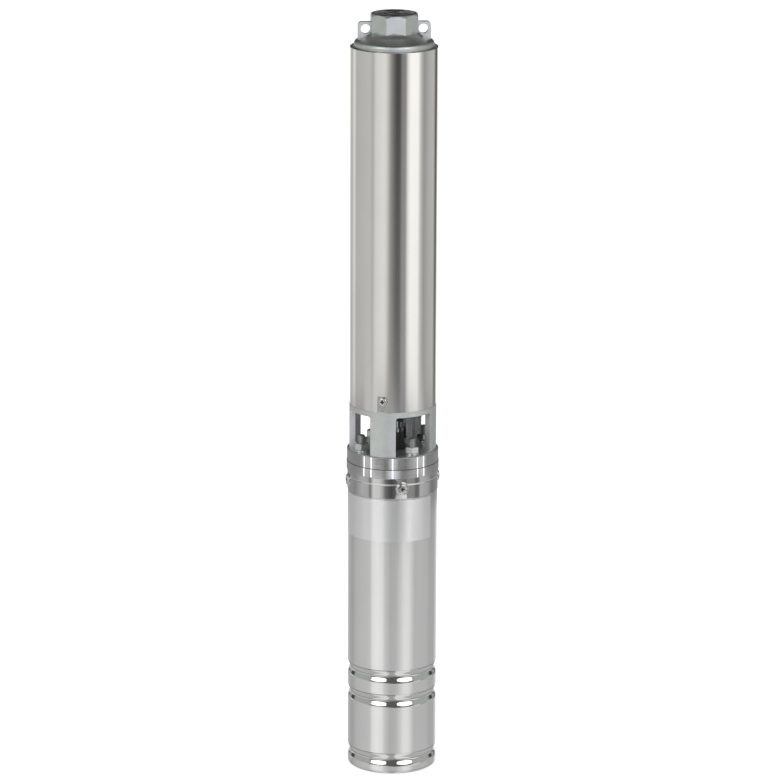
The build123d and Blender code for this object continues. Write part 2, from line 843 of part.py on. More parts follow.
screw_height = shoulder + jacket_screw_rise
flat_distance = (jacket_radius**2 - (screw_flat_width / 2) ** 2) ** 0.5
guard_screw_heights = (screw_height, jacket_top - guard_end_drop - jacket_screw_rise)
jacket = ring(jacket_radius, bore_radius, shoulder, jacket_top)
flat_top = shoulder + screw_flat_height
flat_cut = slab(screw_flat_width * 2, flat_distance, jacket_radius + 1, shoulder - 1, flat_top)
for cut in around(flat_cut, [post_turn]):
    jacket -= cut
jacket_hole = facing(pan_shank_radius, bore_radius - 2, jacket_radius + 1, 0)
for cut in around(Pos(0, 0, screw_height) * jacket_hole, [post_turn]):
    jacket -= cut
for height in guard_screw_heights:
    for cut in around(Pos(0, 0, height) * jacket_hole, guard_screw_turns):
        jacket -= cut
save("outer_jacket", jacket)


# Cable guard: a hat-shaped strip down the back, and the pan head screws

guard_inner = jacket_radius + rest_gap
guard_outer = guard_inner + guard_sheet
guard_crown = guard_inner + guard_depth
guard_bottom = flange_top + rest_gap
guard_top = jacket_top - guard_end_drop
hat_width = 2 * (guard_inside_half_width + guard_sheet)
hat = slab(hat_width, bore_radius, guard_crown + guard_sheet, guard_bottom, guard_top)
hat_room = slab(2 * guard_inside_half_width, 0, guard_crown, 0, head_top)
foot_face = Pos(guard_inner, guard_bottom) * Rectangle(
    guard_sheet, guard_top - guard_bottom, align=(Align.MIN, Align.MIN)
)
feet = revolve(Plane.XZ * foot_face, Axis.Z, revolution_arc=2 * guard_foot_turn)
feet = Rot(0, 0, -90 - guard_foot_turn) * feet
guard = hat - disc(guard_inner, 0, head_top) + feet - hat_room
guard_hole = facing(pan_shank_radius + slip_gap, guard_inner - 1, guard_outer + 1, 0)
for height in guard_screw_heights:
    for cut in around(Pos(0, 0, height) * guard_hole, [-guard_screw_turn, guard_screw_turn]):
        guard -= cut
save("cable_guard", *around(guard, [guard_turn]))


def pan_screw(seat, height):
    """A pan head screw at the front, its head seated at a distance from the axis."""
    face = seat + pan_head_height
    head = facing(pan_head_radius, seat, face, height)
    head = chamfer(head.edges().group_by(Axis.Y)[0], pan_head_height * 0.4)
    shank = facing(pan_shank_radius - slip_gap, seat - pan_shank_length, seat + 1, height)
    return head + shank


pan_screws = around(pan_screw(flat_distance, screw_height), [post_turn])
for height in guard_screw_heights:
    pan_screws += around(pan_screw(guard_outer, height), guard_screw_turns)
save("jacket_screws", *pan_screws)


# Delivery head: spigot, domed shoulder, octagon with the outlet's bore, and two lifting ears

octagon_bottom = head_top - octagon_height
fillet_end = (octagon_flats / 2 + fillet_reach, octagon_bottom - fillet_drop)
cone_foot_height = octagon_bottom - fillet_drop - cone_rise
dome_radius = bore_radius - dome_edge_gap
throat_height = head_top - thread_length
guide_seat = head_bottom + guide_height
head_profile = [
    Line((0, head_bottom), (bore_radius - slip_gap, head_bottom)),
    Line((bore_radius - slip_gap, head_bottom), (bore_radius - slip_gap, jacket_top - 4)),
    Line((bore_radius - slip_gap, jacket_top - 4), (dome_radius, jacket_top - 4)),
    Line((dome_radius, jacket_top - 4), (dome_radius, cone_foot_height - dome_round)),
    ThreePointArc(
        (dome_radius, cone_foot_height - dome_round),
        (dome_radius - 0.5, cone_foot_height - 1.9),
        (cone_foot_radius, cone_foot_height),
    ),
    Line((cone_foot_radius, cone_foot_height), fillet_end),
    SagittaArc(fillet_end, (octagon_flats / 2, octagon_bottom), fillet_hollow),
    Line((octagon_flats / 2, octagon_bottom), (0, octagon_bottom)),
    Line((0, octagon_bottom), (0, head_bottom)),
]
head = revolve(Plane.XZ * make_face(head_profile), Axis.Z)
octagon = prism(octagon_flats, 8, cone_foot_height, head_top)
octagon_corner = octagon_flats / 2 / cos(radians(22.5))
chamfer_start = octagon_flats / 2 - chamfer_inset
chamfer_end = octagon_corner + 0.5
chamfer_drop = octagon_chamfer * (chamfer_end - chamfer_start) / (octagon_corner - chamfer_start)
octagon &= turned(
    (0, cone_foot_height),
    (chamfer_end, cone_foot_height),
    (chamfer_end, head_top - chamfer_drop),
    (chamfer_start, head_top),
    (0, head_top),
)
ear_top = head_top - ear_drop
ear_hole_height = head_top - ear_hole_drop
ear_foot = cone_foot_height - 4
ears = Pos(0, 0, ear_foot) * Box(
    2 * ear_reach, ear_thickness, ear_top - ear_foot, align=(Align.CENTER, Align.CENTER, Align.MIN)
)
ears = fillet(ears.edges().filter_by(Axis.Y).group_by(Axis.Z)[-1], ear_round)
ear_hole = Pos(0, 0, ear_hole_height) * Rot(90, 0, 0) * Cylinder(ear_hole_radius, 2 * ear_thickness)
head += octagon + ears
chamber_top = cone_foot_height - dome_wall
head -= turned(
    (0, head_bottom - 1),
    (valve_chamber_radius, head_bottom - 1),
    (valve_chamber_radius, guide_seat),
    (valve_chamber_radius - 1, guide_seat),
    (valve_chamber_radius - 1, chamber_top),
    (throat_radius, throat_height - 2),
    (throat_radius, throat_height),
    (outlet_radius, throat_height),
    (outlet_radius, head_top - outlet_mouth_radius + outlet_radius),
    (outlet_mouth_radius, head_top),
    (0, head_top),
)
for side in (-ear_hole_place, ear_hole_place):
    head -= Pos(side, 0, 0) * ear_hole
seal_height = head_bottom + seal_rise
seal_inner_radius = bore_radius - 2 * seal_ring_radius
seal_half = 1.2 * seal_ring_radius
head -= ring(bore_radius + 1, seal_inner_radius, seal_height - seal_half - 0.2, seal_height + seal_half + 0.2)
head_screw_foot = guard_outer - pan_shank_length - 1
head_screw_hole = facing(pan_shank_radius, head_screw_foot, jacket_radius, guard_screw_heights[1])
for cut in around(head_screw_hole, guard_screw_turns):
    head -= cut
save("delivery_head", head)
head_seal = ring(bore_radius - slip_gap, seal_inner_radius, seal_height - seal_half, seal_height + seal_half)
save("head_seal", head_seal)


# Check valve: seat, guide, and a poppet with its seal that a spring closes

seat_top = head_bottom + seat_thickness
poppet_bottom = seat_top + poppet_seal_height
poppet_top = poppet_bottom + poppet_thickness
spring_closed = (spring_turns + 1) * spring_wire
hub_foot = poppet_top + valve_travel + spring_closed
hub_top = hub_foot + guide_hub_length
insert_radius = valve_chamber_radius - slip_gap
valve_seat = ring(insert_radius, seat_bore_radius, head_bottom, seat_top)
valve_seat += ring(insert_radius, insert_radius - guide_ring_wall, seat_top, guide_seat - 4)
save("valve_seat", valve_seat)

guide = ring(insert_radius, insert_radius - guide_ring_wall, guide_seat - 4, guide_seat)
arm_face = Plane.YZ * make_face(
    Polyline(
        (-insert_radius + 1, guide_seat - 4),
        (-insert_radius + 1, guide_seat),
        (-guide_hub_radius + 1, hub_top - 2),
        (-guide_hub_radius + 1, hub_foot + 1),
        close=True,
    )
)
for copy in around(extrude(arm_face, guide_arm_width / 2, both=True), evenly(3)):
    guide += copy
guide += disc(guide_hub_radius, hub_foot, hub_top)
guide -= disc(stem_radius + running_gap, hub_foot - 1, hub_top + 1)
save("valve_guide", guide)

poppet = turned(
    (0, seat_top - 2),
    (seat_bore_radius - 2, seat_top - 2),
    (seat_bore_radius - 1, poppet_bottom),
    (poppet_radius, poppet_bottom),
    (poppet_radius, poppet_bottom + 1),
    (stem_radius + 6, poppet_top),
    (stem_radius, poppet_top),
    (stem_radius, hub_top - 1),
    (0, hub_top - 1),
)
save("valve_poppet", poppet)
save("valve_seal", ring(poppet_radius - 0.5, seat_bore_radius - 1 + slip_gap, seat_top, poppet_bottom))

spring_rise = hub_foot - poppet_top - 2 * spring_wire
spring_coil = Helix(spring_rise / spring_turns, spring_rise, spring_radius)
spring_path = Pos(0, 0, poppet_top + spring_wire) * spring_coil
spring_start = Plane(origin=spring_path @ 0, z_dir=spring_path % 0)
spring_section = spring_start * Rectangle(spring_wire, spring_wire)
save("valve_spring", sweep(spring_section, path=spring_path, is_frenet=True))
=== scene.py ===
"""The looks of a borehole submersible pump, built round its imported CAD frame."""

import json
from math import atan, cos, degrees, pi, radians, sin, sqrt, tan

import bmesh
import bpy
from mathutils import Matrix, Vector


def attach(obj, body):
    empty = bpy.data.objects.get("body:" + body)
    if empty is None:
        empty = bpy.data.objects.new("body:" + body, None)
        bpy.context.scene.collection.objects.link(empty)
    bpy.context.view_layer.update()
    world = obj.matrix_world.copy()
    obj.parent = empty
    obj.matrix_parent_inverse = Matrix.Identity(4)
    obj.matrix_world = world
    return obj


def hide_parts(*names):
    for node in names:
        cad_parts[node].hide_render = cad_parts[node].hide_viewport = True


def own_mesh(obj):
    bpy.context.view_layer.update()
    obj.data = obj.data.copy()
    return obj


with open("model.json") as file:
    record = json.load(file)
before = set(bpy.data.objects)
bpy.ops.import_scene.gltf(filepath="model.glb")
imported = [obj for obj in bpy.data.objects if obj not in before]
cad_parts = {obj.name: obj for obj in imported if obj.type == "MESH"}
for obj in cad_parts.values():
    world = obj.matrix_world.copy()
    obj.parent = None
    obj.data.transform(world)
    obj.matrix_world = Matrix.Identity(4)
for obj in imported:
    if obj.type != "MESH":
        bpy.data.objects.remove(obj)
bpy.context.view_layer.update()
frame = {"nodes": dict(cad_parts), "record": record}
nodes = frame["nodes"]
MM = 0.001

# Turns in degrees about +Z, counted from the front, where the front faces -Y
POST_TURN = -18.0
SHELL_SCREW_TURN = 7.8
GUARD_TURN = POST_TURN + 180
GUARD_SCREW_TURN = 20.5
STUD_TURNS = [POST_TURN + 45 + 90 * k for k in range(4)]
SHELL_SCREW_TURNS = [SHELL_SCREW_TURN + 90 * k for k in range(4)]

# Sizes in millimetres that the pieces made here share with the frame
COLLAR_RADIUS = 47.1
ROLLED_LINE = 315.5
ROLLED_LINE_REACH = 0.8
SHELL_SCREW_HEIGHT = 311.5
WASHER_HEIGHT = 2.05
JACKET_SCREW_HEIGHT = 403.7
GUARD_SCREW_HEIGHT = 748.3
FLAT_DISTANCE = 44.631
GUARD_FACE = 46.3
LANTERN_FLOOR = 345.0
STUD_CIRCLE = 38.1
STUD_RADIUS = 3.95
STUD_FOOT = 321.0
STUD_TOP = 362.2
STUD_PITCH = 1.25
NUT_FLATS = 13.0
NUT_BOTTOM = 347.0
NUT_HEIGHT = 6.8
NUT_TURNS = [-1.5, 20.0, 40.0, 28.5]
OUTLET_RADIUS = 20.955
OUTLET_FLOOR = 778.0
OUTLET_TOP = 800.0
OUTLET_PITCH = 2.309
OUTLET_RIDGE = 1.479
SHAFT_RADIUS = 8.0
COUPLING_FOOT = 359.1
COUPLING_RADIUS = 9.8
SLINGER_HEIGHTS = (337.5, 362.5)
SLINGER_FOOT = 14.5
SLINGER_NECK = 10.9
SPRING_FOOT = 746.0
SPRING_TOP = 760.0
SPRING_RADIUS = 6.5
SPRING_WIRE = 1.2
SPRING_TURNS = 4

# Screws, in millimetres. Outlines here and below are rows of (radius, height), and the floor of a cross
# recess is given in shares of its mouth and depth
SCREW_SHANK = 2.45
PAN_SHANK_END = -7.0
PAN_FOOT_RADIUS = 4.5
PAN_RADIUS = 4.65
PAN_FOOT = 0.25
PAN_RIM = 0.75
PAN_CROWN = 1.8
PAN_HEAD_HEIGHT = 2.4
COUNTERSUNK_SHANK_END = -10.0
COUNTERSUNK_EDGE = [(4.2, 1.78), (4.25, 1.88), (4.1, 1.96), (3.0, 2.04)]
CROSS_REACH = 2.3
CROSS_HALF_WIDTH = 0.5
CROSS_DEPTH = 1.8
CROSS_CORNER = 0.8
CROSS_LIP = 0.12
CROSS_CHAMFER = 0.08
CROSS_FLOOR_REACH = 0.62
CROSS_FLOOR_WIDTH = 0.8
CROSS_FLOOR_DEPTH = 0.9

# The dished washers: their edge lies on the collar, the dish rises to the lip, and the screw sits inside it
WASHER_BORE = 2.7
WASHER_FOOT = 6.85
WASHER_RADIUS = 6.9
WASHER_EDGE = 0.15
WASHER_DISH = [(6.9, 0.2), (6.85, 0.42), (6.6, 0.55), (6.2, 0.7), (5.85, 1.0), (5.6, 1.4), (5.35, 1.8)]
WASHER_LIP = [(5.1, 2.0), (4.85, WASHER_HEIGHT), (4.6, 2.0), (4.42, 1.85), (2.7, 0.15)]

# Studs, their nuts and their flat washers, in millimetres and degrees
STUD_PLAIN_TOP = 1.0
STUD_THREAD_START = 1.5
STUD_THREAD_DEPTH = 0.72
STUD_CHAMFER = 0.9
NUT_BORE = 4.0
NUT_MOUTH = 0.7
NUT_FACE_SHARE = 0.96
NUT_CHAMFER_ANGLE = 28
FLAT_WASHER_BORE = 4.1
FLAT_WASHER_RADIUS = 6.9
FLAT_WASHER_ROUND = 0.5
FLAT_WASHER_ROUND_PLACE = 6.7

# Threads: how steep a ridge is and how flat its root, and how far the pipe thread keeps from its bore
RIDGE_SLOPE = 1.25
RIDGE_ROOT = 0.12
PIPE_FOOT_GAP = 0.1
PIPE_TOP_GAP = 1.5
PIPE_SKIN = 0.01
PIPE_ROOT = 0.03

# The slinger's fit on shaft and coupling, and its flare and ribs, which fade towards both ends
SLINGER_CLEARANCE = 0.05
SLINGER_GRIP = 8.0
SLINGER_LIP = 1.8
SLINGER_FLARE = 1.7
SLINGER_RIBS = 18
RIB_DEPTH = 0.5
RIB_FADE_UP = 2.2
RIB_FADE_DOWN = 12

# How finely pieces are drawn: counts, angles in degrees, and the distance at which points join
ROUND_SIDES = 144
SCREW_SIDES = 72
FLAT_WASHER_SIDES = 48
STUD_SIDES = 32
STUD_ROWS = 76
PIPE_ROWS = 90
SLINGER_ROWS = 16
SPRING_STEPS = 32
WIRE_SIDES = 12
CROWN_ANGLES = (15, 30, 45, 60, 75, 90)
CAD_SMOOTH_ANGLE = 32
PIECE_SMOOTH_ANGLE = 35
MERGE_DISTANCE = 0.002

# The range in which most of a noise lies
NOISE_RANGE = (0.3, 0.7)

# Faces with a finish of their own, by ranges of radius and height in millimetres, and of how far up a face
# looks, from -1 to 1. The match is how nearly a face of the flat looks straight out, where 1 is exactly
FAR = 1000.0
ANY = (-FAR, FAR)
UPRIGHT = (-0.3, 0.3)
RAISED = (0.3, FAR)
DOMED = (0.6, 0.98)
LANTERN_RIM = (45.6, FAR)
LANTERN_RIM_HEIGHTS = (331.0, 346.0)
LANTERN_INSIDE_HEIGHTS = (345.5, FAR)
BRACKET_EDGE = (47.0, FAR)
BRACKET_EDGE_HEIGHTS = (331.4, 331.9)
COLLAR = (46.5, FAR)
COLLAR_HEIGHTS = (298.0, 321.9)
SHELL_MOUTH = (45.9, FAR)
SHELL_MOUTH_HEIGHTS = (321.9, FAR)
OUTLET_BORE = (0.0, 21.2)
OUTLET_EDGE = (21.2, 22.3)
OUTLET_HEIGHTS = (777.0, FAR)
DOME = (24.0, 43.0)
DOME_HEIGHTS = (755.0, 782.0)
JACKET_SKIN = (43.9, FAR)
FLAT_HEIGHTS = (0.0, 410.0)
FLAT_MATCH = 0.9999

# The camera, as the photograph was taken
PHOTO_HEIGHT = 781
FOCAL_PIXELS = 4200
SENSOR_WIDTH = 36.0
CAMERA_TURN = -4.5
CAMERA_ELEVATION = 14.5
CAMERA_DISTANCE = 4.357
CAMERA_ROLL = 0.21
AIM_HEIGHT = 0.4045
AIM_SIDE = -0.003

# The studio round the pump, as the steel shows it. Angles are degrees to the right of the camera's
# direction, and each wall, panel or bench is a row of (angle, level). Edges are elevations in degrees.
BENCH = [(-180, 0.85), (-160, 0.55), (-128, 0.42), (-112, 0.52), (-100, 0.57), (-68, 0.62), (-60, 0.66),
         (-52, 0.92), (-40, 1.0), (-26, 0.94), (-18, 0.7), (-4, 0.54), (10, 0.57), (20, 0.72), (32, 0.93),
         (44, 0.9), (52, 0.74), (60, 0.58), (100, 0.56), (116, 0.48), (140, 0.48), (160, 0.8), (180, 0.85)]
WALLS = [(-180, 1.1), (-158, 0.8), (-145, 0.46), (-126, 0.92), (-116, 0.54), (-66, 0.62), (-56, 0.5),
         (-48, 0.78), (-30, 0.88), (-22, 0.88), (-15, 0.66), (-7, 0.32), (0, 0.16), (7, 0.06), (16, 0.06),
         (22, 0.25), (31, 0.28), (38, 0.95), (46, 1.25), (66, 1.25), (76, 0.62), (86, 0.36), (108, 0.54),
         (128, 0.58), (140, 0.1), (150, 0.1), (158, 0.8), (180, 1.1)]
SKIRTING = [(-180, 0.4), (-110, 0.3), (-84, 0.52), (-66, 0.48), (-59, 0.2), (-50, 0.78), (-34, 0.72),
            (-26, 0.5), (-18, 0.18), (-4, 0.07), (30, 0.24), (44, 0.32), (56, 0.3), (62, 0.16), (70, 0.18),
            (76, 0.54), (100, 0.45), (120, 0.22), (180, 0.4)]
GLOW = [(-180, 0.35), (-88, 0.25), (-76, 0.6), (-54, 0.65), (-40, 0.27), (-18, 0.2), (0, 0.55), (16, 0.32),
        (34, 0.17), (50, 0.45), (62, 0.65), (84, 0.68), (96, 0.25), (180, 0.35)]
UNDER_BENCH = [(-180, 0.4), (-90, 0.3), (-60, 0.2), (0, 0.14), (60, 0.2), (90, 0.3), (180, 0.4)]
GROUND = [(-180, 0.5), (-62, 0.5), (-52, 0.85), (-18, 0.85), (-10, 0.42), (10, 0.42), (18, 0.85),
          (52, 0.85), (62, 0.5), (180, 0.5)]
ROOM = [(-180, 0.03), (-150, 0.05), (-144, 0.35), (-134, 0.4), (-127, 0.06), (-119, 0.06), (-110, 0.45),
        (-62, 0.45), (-50, 0.12), (50, 0.12), (62, 0.45), (110, 0.45), (119, 0.06), (127, 0.06), (134, 0.4),
        (144, 0.35), (150, 0.05), (180, 0.03)]
CEILING = 0.04
GROUND_EDGE = (-32.0, -28.0)
BENCH_FOOT = (-22.0, -20.5)
BENCH_TOP = (-16.06, -15.98)
SKIRTING_TOP = (-15.68, -15.62)
GLOW_TOP = (-14.8, -14.7)
WALL_FADE = (-15.0, -8.0)
WALL_FADE_START = 0.8
WALL_TOP = (-8.0, -4.0)
ROOM_TOP = (52.0, 60.0)
SOFTBOX_ANGLE = 36.5
SOFTBOX_ELEVATION = 28.0
SOFTBOX_WIDTH = 22.5
SOFTBOX_HEIGHT = 25.0
SOFTBOX_EDGE = (1.0, 0.8)
SOFTBOX_LEVEL = 1.8
WARM = (1.0, 0.975, 0.93)
PLAIN = (1.0, 1.0, 1.0)
COOL = (0.93, 1.0, 0.97)
ROOM_LIGHT = 0.85
FLOOR_REACH = 30
FLOOR_DROP = 0.0002
FLOOR_GLOW = 0.5

# Lamps, in metres, watts and degrees. The soft lamp lights everything and the others only some pieces
SOFT_LAMP_PLACE = (-1.6, -1.9, 2.2)
SOFT_LAMP_AIM = (0, 0, 0.4)
SOFT_LAMP_WIDTH = 1.6
SOFT_LAMP_ENERGY = 26
LILAC = (0.85, 0.84, 1.0)
FILL_TURN = 9.0
FILL_DISTANCE = 1.6
FILL_WIDTH = 0.5
FILL_HEIGHT = 1.8
FILL_FOOT = 0.05
FILL_ENERGY = 3.1
STRIP_TURNS = (-74, -53.7, 0, 63.2, 81.8)
STRIP_DISTANCE = 0.6
STRIP_WIDTH = 0.03
STRIP_HEIGHT = 0.16
STRIP_MIDDLE = 0.16
STRIP_ENERGY = 0.022
RIM_GLOW_TURN = 1.5
RIM_GLOW_WIDTH = 0.44
RIM_GLOW_ENERGY = 0.032
RIM_GLOW_SHARES = (0.34, 0.56, 0.78, 1.0)
RIM_GLOW_GAP = 0.01
RIM_GLOWS_ON_LANTERN = 2


class Tree:
    """A node tree, with short calls for the nodes that the materials and the world share."""

    def __init__(self, owner):
        owner.use_nodes = True
        self.tree = owner.node_tree

    def add(self, kind, **settings):
        """A new node with its settings."""
        node = self.tree.nodes.new(kind)
        for name, value in settings.items():
            setattr(node, name, value)
        return node

    def feed(self, value, target):
        """Joins an output to an input, or sets the input to a plain value or colour."""
        if isinstance(value, bpy.types.NodeSocket):
            self.tree.links.new(value, target)
        elif target.type == "RGBA":
            colour = value if isinstance(value, tuple) else (value, value, value)
            target.default_value = (*colour, 1)
        else:
            target.default_value = value

    def math(self, operation, *values):
        """The result of an operation on outputs and plain values."""
        node = self.add("ShaderNodeMath", operation=operation)
        for value, target in zip(values, node.inputs):
            self.feed(value, target)
        return node.outputs[0]

    def mixed(self, factor, first, second):
        """A colour or level between two."""
        node = self.add("ShaderNodeMix", data_type="RGBA")
        self.feed(factor, node.inputs["Factor"])
        self.feed(first, node.inputs["A"])
        self.feed(second, node.inputs["B"])
        return node.outputs["Result"]

    def ranged(self, value, source, target=(0, 1), kind="LINEAR"):
        """A value moved from one range into another."""
        node = self.add("ShaderNodeMapRange", interpolation_type=kind)
        limits = zip(("From Min", "From Max", "To Min", "To Max"), (*source, *target))
        for name, limit in limits:
            node.inputs[name].default_value = limit
        self.feed(value, node.inputs["Value"])
        return node.outputs["Result"]


class Finish(Tree):
    """A material's node tree."""

    def __init__(self, name):
        self.material = bpy.data.materials.new(name)
        super().__init__(self.material)
        self.shader = self.tree.nodes["Principled BSDF"]
        self.place = self.add("ShaderNodeTexCoord").outputs["Object"]

    def noise(self, scale, detail=4.0, stretch=(1, 1, 1)):
        """A noise in the piece's own coordinates, which are scaled apart along each axis."""
        mapping = self.add("ShaderNodeMapping")
        mapping.inputs["Scale"].default_value = stretch
        self.feed(self.place, mapping.inputs["Vector"])
        node = self.add("ShaderNodeTexNoise")
        node.inputs["Scale"].default_value = scale
        node.inputs["Detail"].default_value = detail
        self.feed(mapping.outputs["Vector"], node.inputs["Vector"])
        return node.outputs["Fac"]

    def between(self, noise, low, high):
        """A noise's usual range moved into another."""
        return self.ranged(noise, NOISE_RANGE, (low, high))

    def tone(self, noise, first, second):
        """A colour that a noise moves between two."""
        return self.mixed(self.between(noise, 0, 1), first, second)

    def bump(self, value, height, under=None):
        """Surface relief of a height in metres, on top of another relief where one is given."""
        node = self.add("ShaderNodeBump")
        node.inputs["Distance"].default_value = height
        self.feed(value, node.inputs["Height"])
        if under is not None:
            self.feed(under, node.inputs["Normal"])
        return node.outputs["Normal"]

    def rounded(self, radius):
        """The look of softened edges, by a radius in metres."""
        node = self.add("ShaderNodeBevel", samples=4)
        node.inputs["Radius"].default_value = radius
        return node.outputs["Normal"]

    def set(self, **values):
        """Feeds the shader's inputs, named with underscores, and gives the material."""
        for name, value in values.items():
            self.feed(value, self.shader.inputs[name.replace("_", " ")])
        return self.material


# Materials


def tube_steel():
    """Bright rolled tube: faint lines along the tube and a soft unevenness."""
    n = Finish("tube_steel")
    lines = n.noise(900, detail=2, stretch=(1, 1, 0.02))
    cloud = n.noise(14, detail=3)
    return n.set(
        Base_Color=n.tone(cloud, (0.76, 0.76, 0.755), (0.8, 0.8, 0.795)), Metallic=1.0,
        Roughness=n.between(lines, 0.06, 0.09), Normal=n.bump(lines, 0.000003, under=n.rounded(0.0003)),
    )


def turned_steel():
    """Machined steel: fine rings round the axis."""
    n = Finish("turned_steel")
    rings = n.noise(1500, detail=2, stretch=(0.05, 0.05, 1))
    return n.set(
        Base_Color=(0.72, 0.73, 0.72), Metallic=1.0, Roughness=n.between(rings, 0.035, 0.06),
        Normal=n.bump(rings, 0.0000006),
    )


def collar_steel():
    """The rolled collar: bright, with the line that the roller left round it."""
    n = Finish("collar_steel")
    cloud = n.noise(14, detail=3)
    place = n.add("ShaderNodeSeparateXYZ")
    n.feed(n.place, place.inputs["Vector"])
    line = ((ROLLED_LINE - ROLLED_LINE_REACH) * MM, (ROLLED_LINE + ROLLED_LINE_REACH) * MM)
    dip = n.math("ABSOLUTE", n.ranged(place.outputs["Z"], line, (-1, 1)))
    return n.set(
        Base_Color=n.tone(cloud, (0.72, 0.72, 0.715), (0.76, 0.76, 0.755)), Metallic=1.0,
        Roughness=n.between(cloud, 0.01, 0.015), Normal=n.bump(dip, 0.000009),
    )


def cast_steel():
    """Investment-cast steel, blasted: a satin grain with soft waves."""
    n = Finish("cast_steel")
    grain = n.noise(1600, detail=3)
    waves = n.noise(90, detail=3)
    relief = n.bump(waves, 0.00006, under=n.rounded(0.0007))
    return n.set(
        Base_Color=n.tone(waves, (0.68, 0.72, 0.7), (0.76, 0.8, 0.78)), Metallic=1.0,
        Roughness=n.between(grain, 0.38, 0.46), Normal=n.bump(grain, 0.00002, under=relief),
    )


def ground_steel():
    """Ground shafts and small bright parts."""
    n = Finish("ground_steel")
    rings = n.noise(2500, detail=2, stretch=(0.1, 0.1, 1))
    return n.set(Base_Color=(0.72, 0.72, 0.71), Metallic=1.0, Roughness=n.between(rings, 0.12, 0.22))


def fastener_steel():
    """Cold-headed stainless fasteners, tumbled."""
    n = Finish("fastener_steel")
    marks = n.noise(1200)
    return n.set(
        Base_Color=(0.72, 0.73, 0.72), Metallic=1.0, Roughness=n.between(marks, 0.16, 0.28),
        Normal=n.bump(marks, 0.000006),
    )


def guard_steel():
    """Pressed sheet: brushed along its length."""
    n = Finish("guard_steel")
    lines = n.noise(1100, detail=2, stretch=(1, 1, 0.01))
    return n.set(
        Base_Color=(0.66, 0.67, 0.66), Metallic=1.0, Roughness=n.between(lines, 0.26, 0.38),
        Normal=n.bump(lines, 0.000008),
    )


def plate_foil():
    """Bare satin foil."""
    n = Finish("plate_foil")
    grain = n.noise(700, detail=3)
    ripple = n.noise(24, detail=2)
    return n.set(
        Base_Color=n.tone(grain, (0.9, 0.905, 0.925), (0.96, 0.965, 0.98)), Metallic=0.95,
        Roughness=n.between(grain, 0.13, 0.18),
        Normal=n.bump(grain, 0.000003, under=n.bump(ripple, 0.00003)),
    )


def black_rubber():
    """Moulded rubber with a faint bloom."""
    n = Finish("black_rubber")
    grain = n.noise(1800)
    bloom = n.noise(60, detail=3)
    return n.set(
        Base_Color=n.tone(bloom, (0.014, 0.014, 0.015), (0.03, 0.03, 0.032)),
        Roughness=n.between(grain, 0.42, 0.6), Normal=n.bump(grain, 0.00001),
    )


def carbon():
    """Machined carbon bearing stock."""
    n = Finish("carbon")
    grain = n.noise(2200)
    return n.set(
        Base_Color=n.tone(grain, (0.03, 0.03, 0.032), (0.055, 0.055, 0.058)),
        Roughness=n.between(grain, 0.35, 0.5),
    )


def stage_plastic():
    """Moulded glass-filled plastic: a dull fibre grain."""
    n = Finish("stage_plastic")
    fibres = n.noise(900, stretch=(1, 1, 3))
    return n.set(
        Base_Color=n.tone(fibres, (0.045, 0.047, 0.05), (0.075, 0.077, 0.08)),
        Roughness=n.between(fibres, 0.45, 0.62), Normal=n.bump(fibres, 0.00001),
    )


def laminations():
    """A stack of thin steel sheets, seen edge-on."""
    n = Finish("laminations")
    sheets = n.add("ShaderNodeTexWave", wave_type="BANDS", bands_direction="Z")
    sheets.inputs["Scale"].default_value = 320
    sheets.inputs["Distortion"].default_value = 0.4
    n.feed(n.place, sheets.inputs["Vector"])
    edges = sheets.outputs["Fac"]
    return n.set(
        Base_Color=n.mixed(edges, (0.12, 0.12, 0.125), (0.3, 0.3, 0.31)), Metallic=0.9, Roughness=0.45,
        Normal=n.bump(edges, 0.00008),
    )


def winding_copper():
    """Varnished magnet wire laid round the end turns."""
    n = Finish("winding_copper")
    turns = n.noise(700, detail=2, stretch=(1, 1, 2.5))
    return n.set(
        Base_Color=n.tone(turns, (0.3, 0.09, 0.03), (0.62, 0.24, 0.09)), Metallic=0.7, Roughness=0.34,
        Normal=n.bump(turns, 0.0003),
    )


def cage_metal():
    """Die-cast aluminium of the rotor's cage."""
    n = Finish("cage_metal")
    skin = n.noise(500)
    return n.set(
        Base_Color=n.tone(skin, (0.6, 0.6, 0.61), (0.75, 0.75, 0.76)), Metallic=1.0,
        Roughness=n.between(skin, 0.38, 0.5), Normal=n.bump(skin, 0.00002),
    )


def bore_painted_shade_steel():
    """The pipe thread's bore, darkened: a painted shade inside the outlet."""
    n = Finish("bore_painted_shade_steel")
    rings = n.noise(900, detail=3, stretch=(0.1, 0.1, 1))
    return n.set(
        Base_Color=n.tone(rings, (0.34, 0.35, 0.33), (0.48, 0.49, 0.46)), Metallic=1.0,
        Roughness=n.between(rings, 0.3, 0.42),
    )


def recess_painted_shade_steel():
    """Dark steel: a painted shade in the screws' cross recesses and on what is hardly lit."""
    n = Finish("recess_painted_shade_steel")
    marks = n.noise(900, detail=3)
    return n.set(
        Base_Color=n.tone(marks, (0.1, 0.1, 0.1), (0.2, 0.2, 0.2)), Metallic=1.0,
        Roughness=n.between(marks, 0.4, 0.5),
    )


def stud_steel():
    """Rolled thread on the studs, greyer than the nuts."""
    n = Finish("stud_steel")
    marks = n.noise(900, detail=3)
    return n.set(Base_Color=(0.58, 0.59, 0.59), Metallic=1.0, Roughness=n.between(marks, 0.3, 0.42))


def dome_painted_shade_steel():
    """The cast steel of the dome, darker than the rest: a painted shade, as the dome faces up and away from
    the lamps.
    """
    n = Finish("dome_painted_shade_steel")
    grain = n.noise(1600, detail=3)
    waves = n.noise(90, detail=3)
    return n.set(
        Base_Color=n.tone(waves, (0.5, 0.495, 0.46), (0.58, 0.575, 0.54)), Metallic=1.0,
        Roughness=n.between(grain, 0.36, 0.44),
        Normal=n.bump(grain, 0.00002, under=n.bump(waves, 0.00005)),
    )


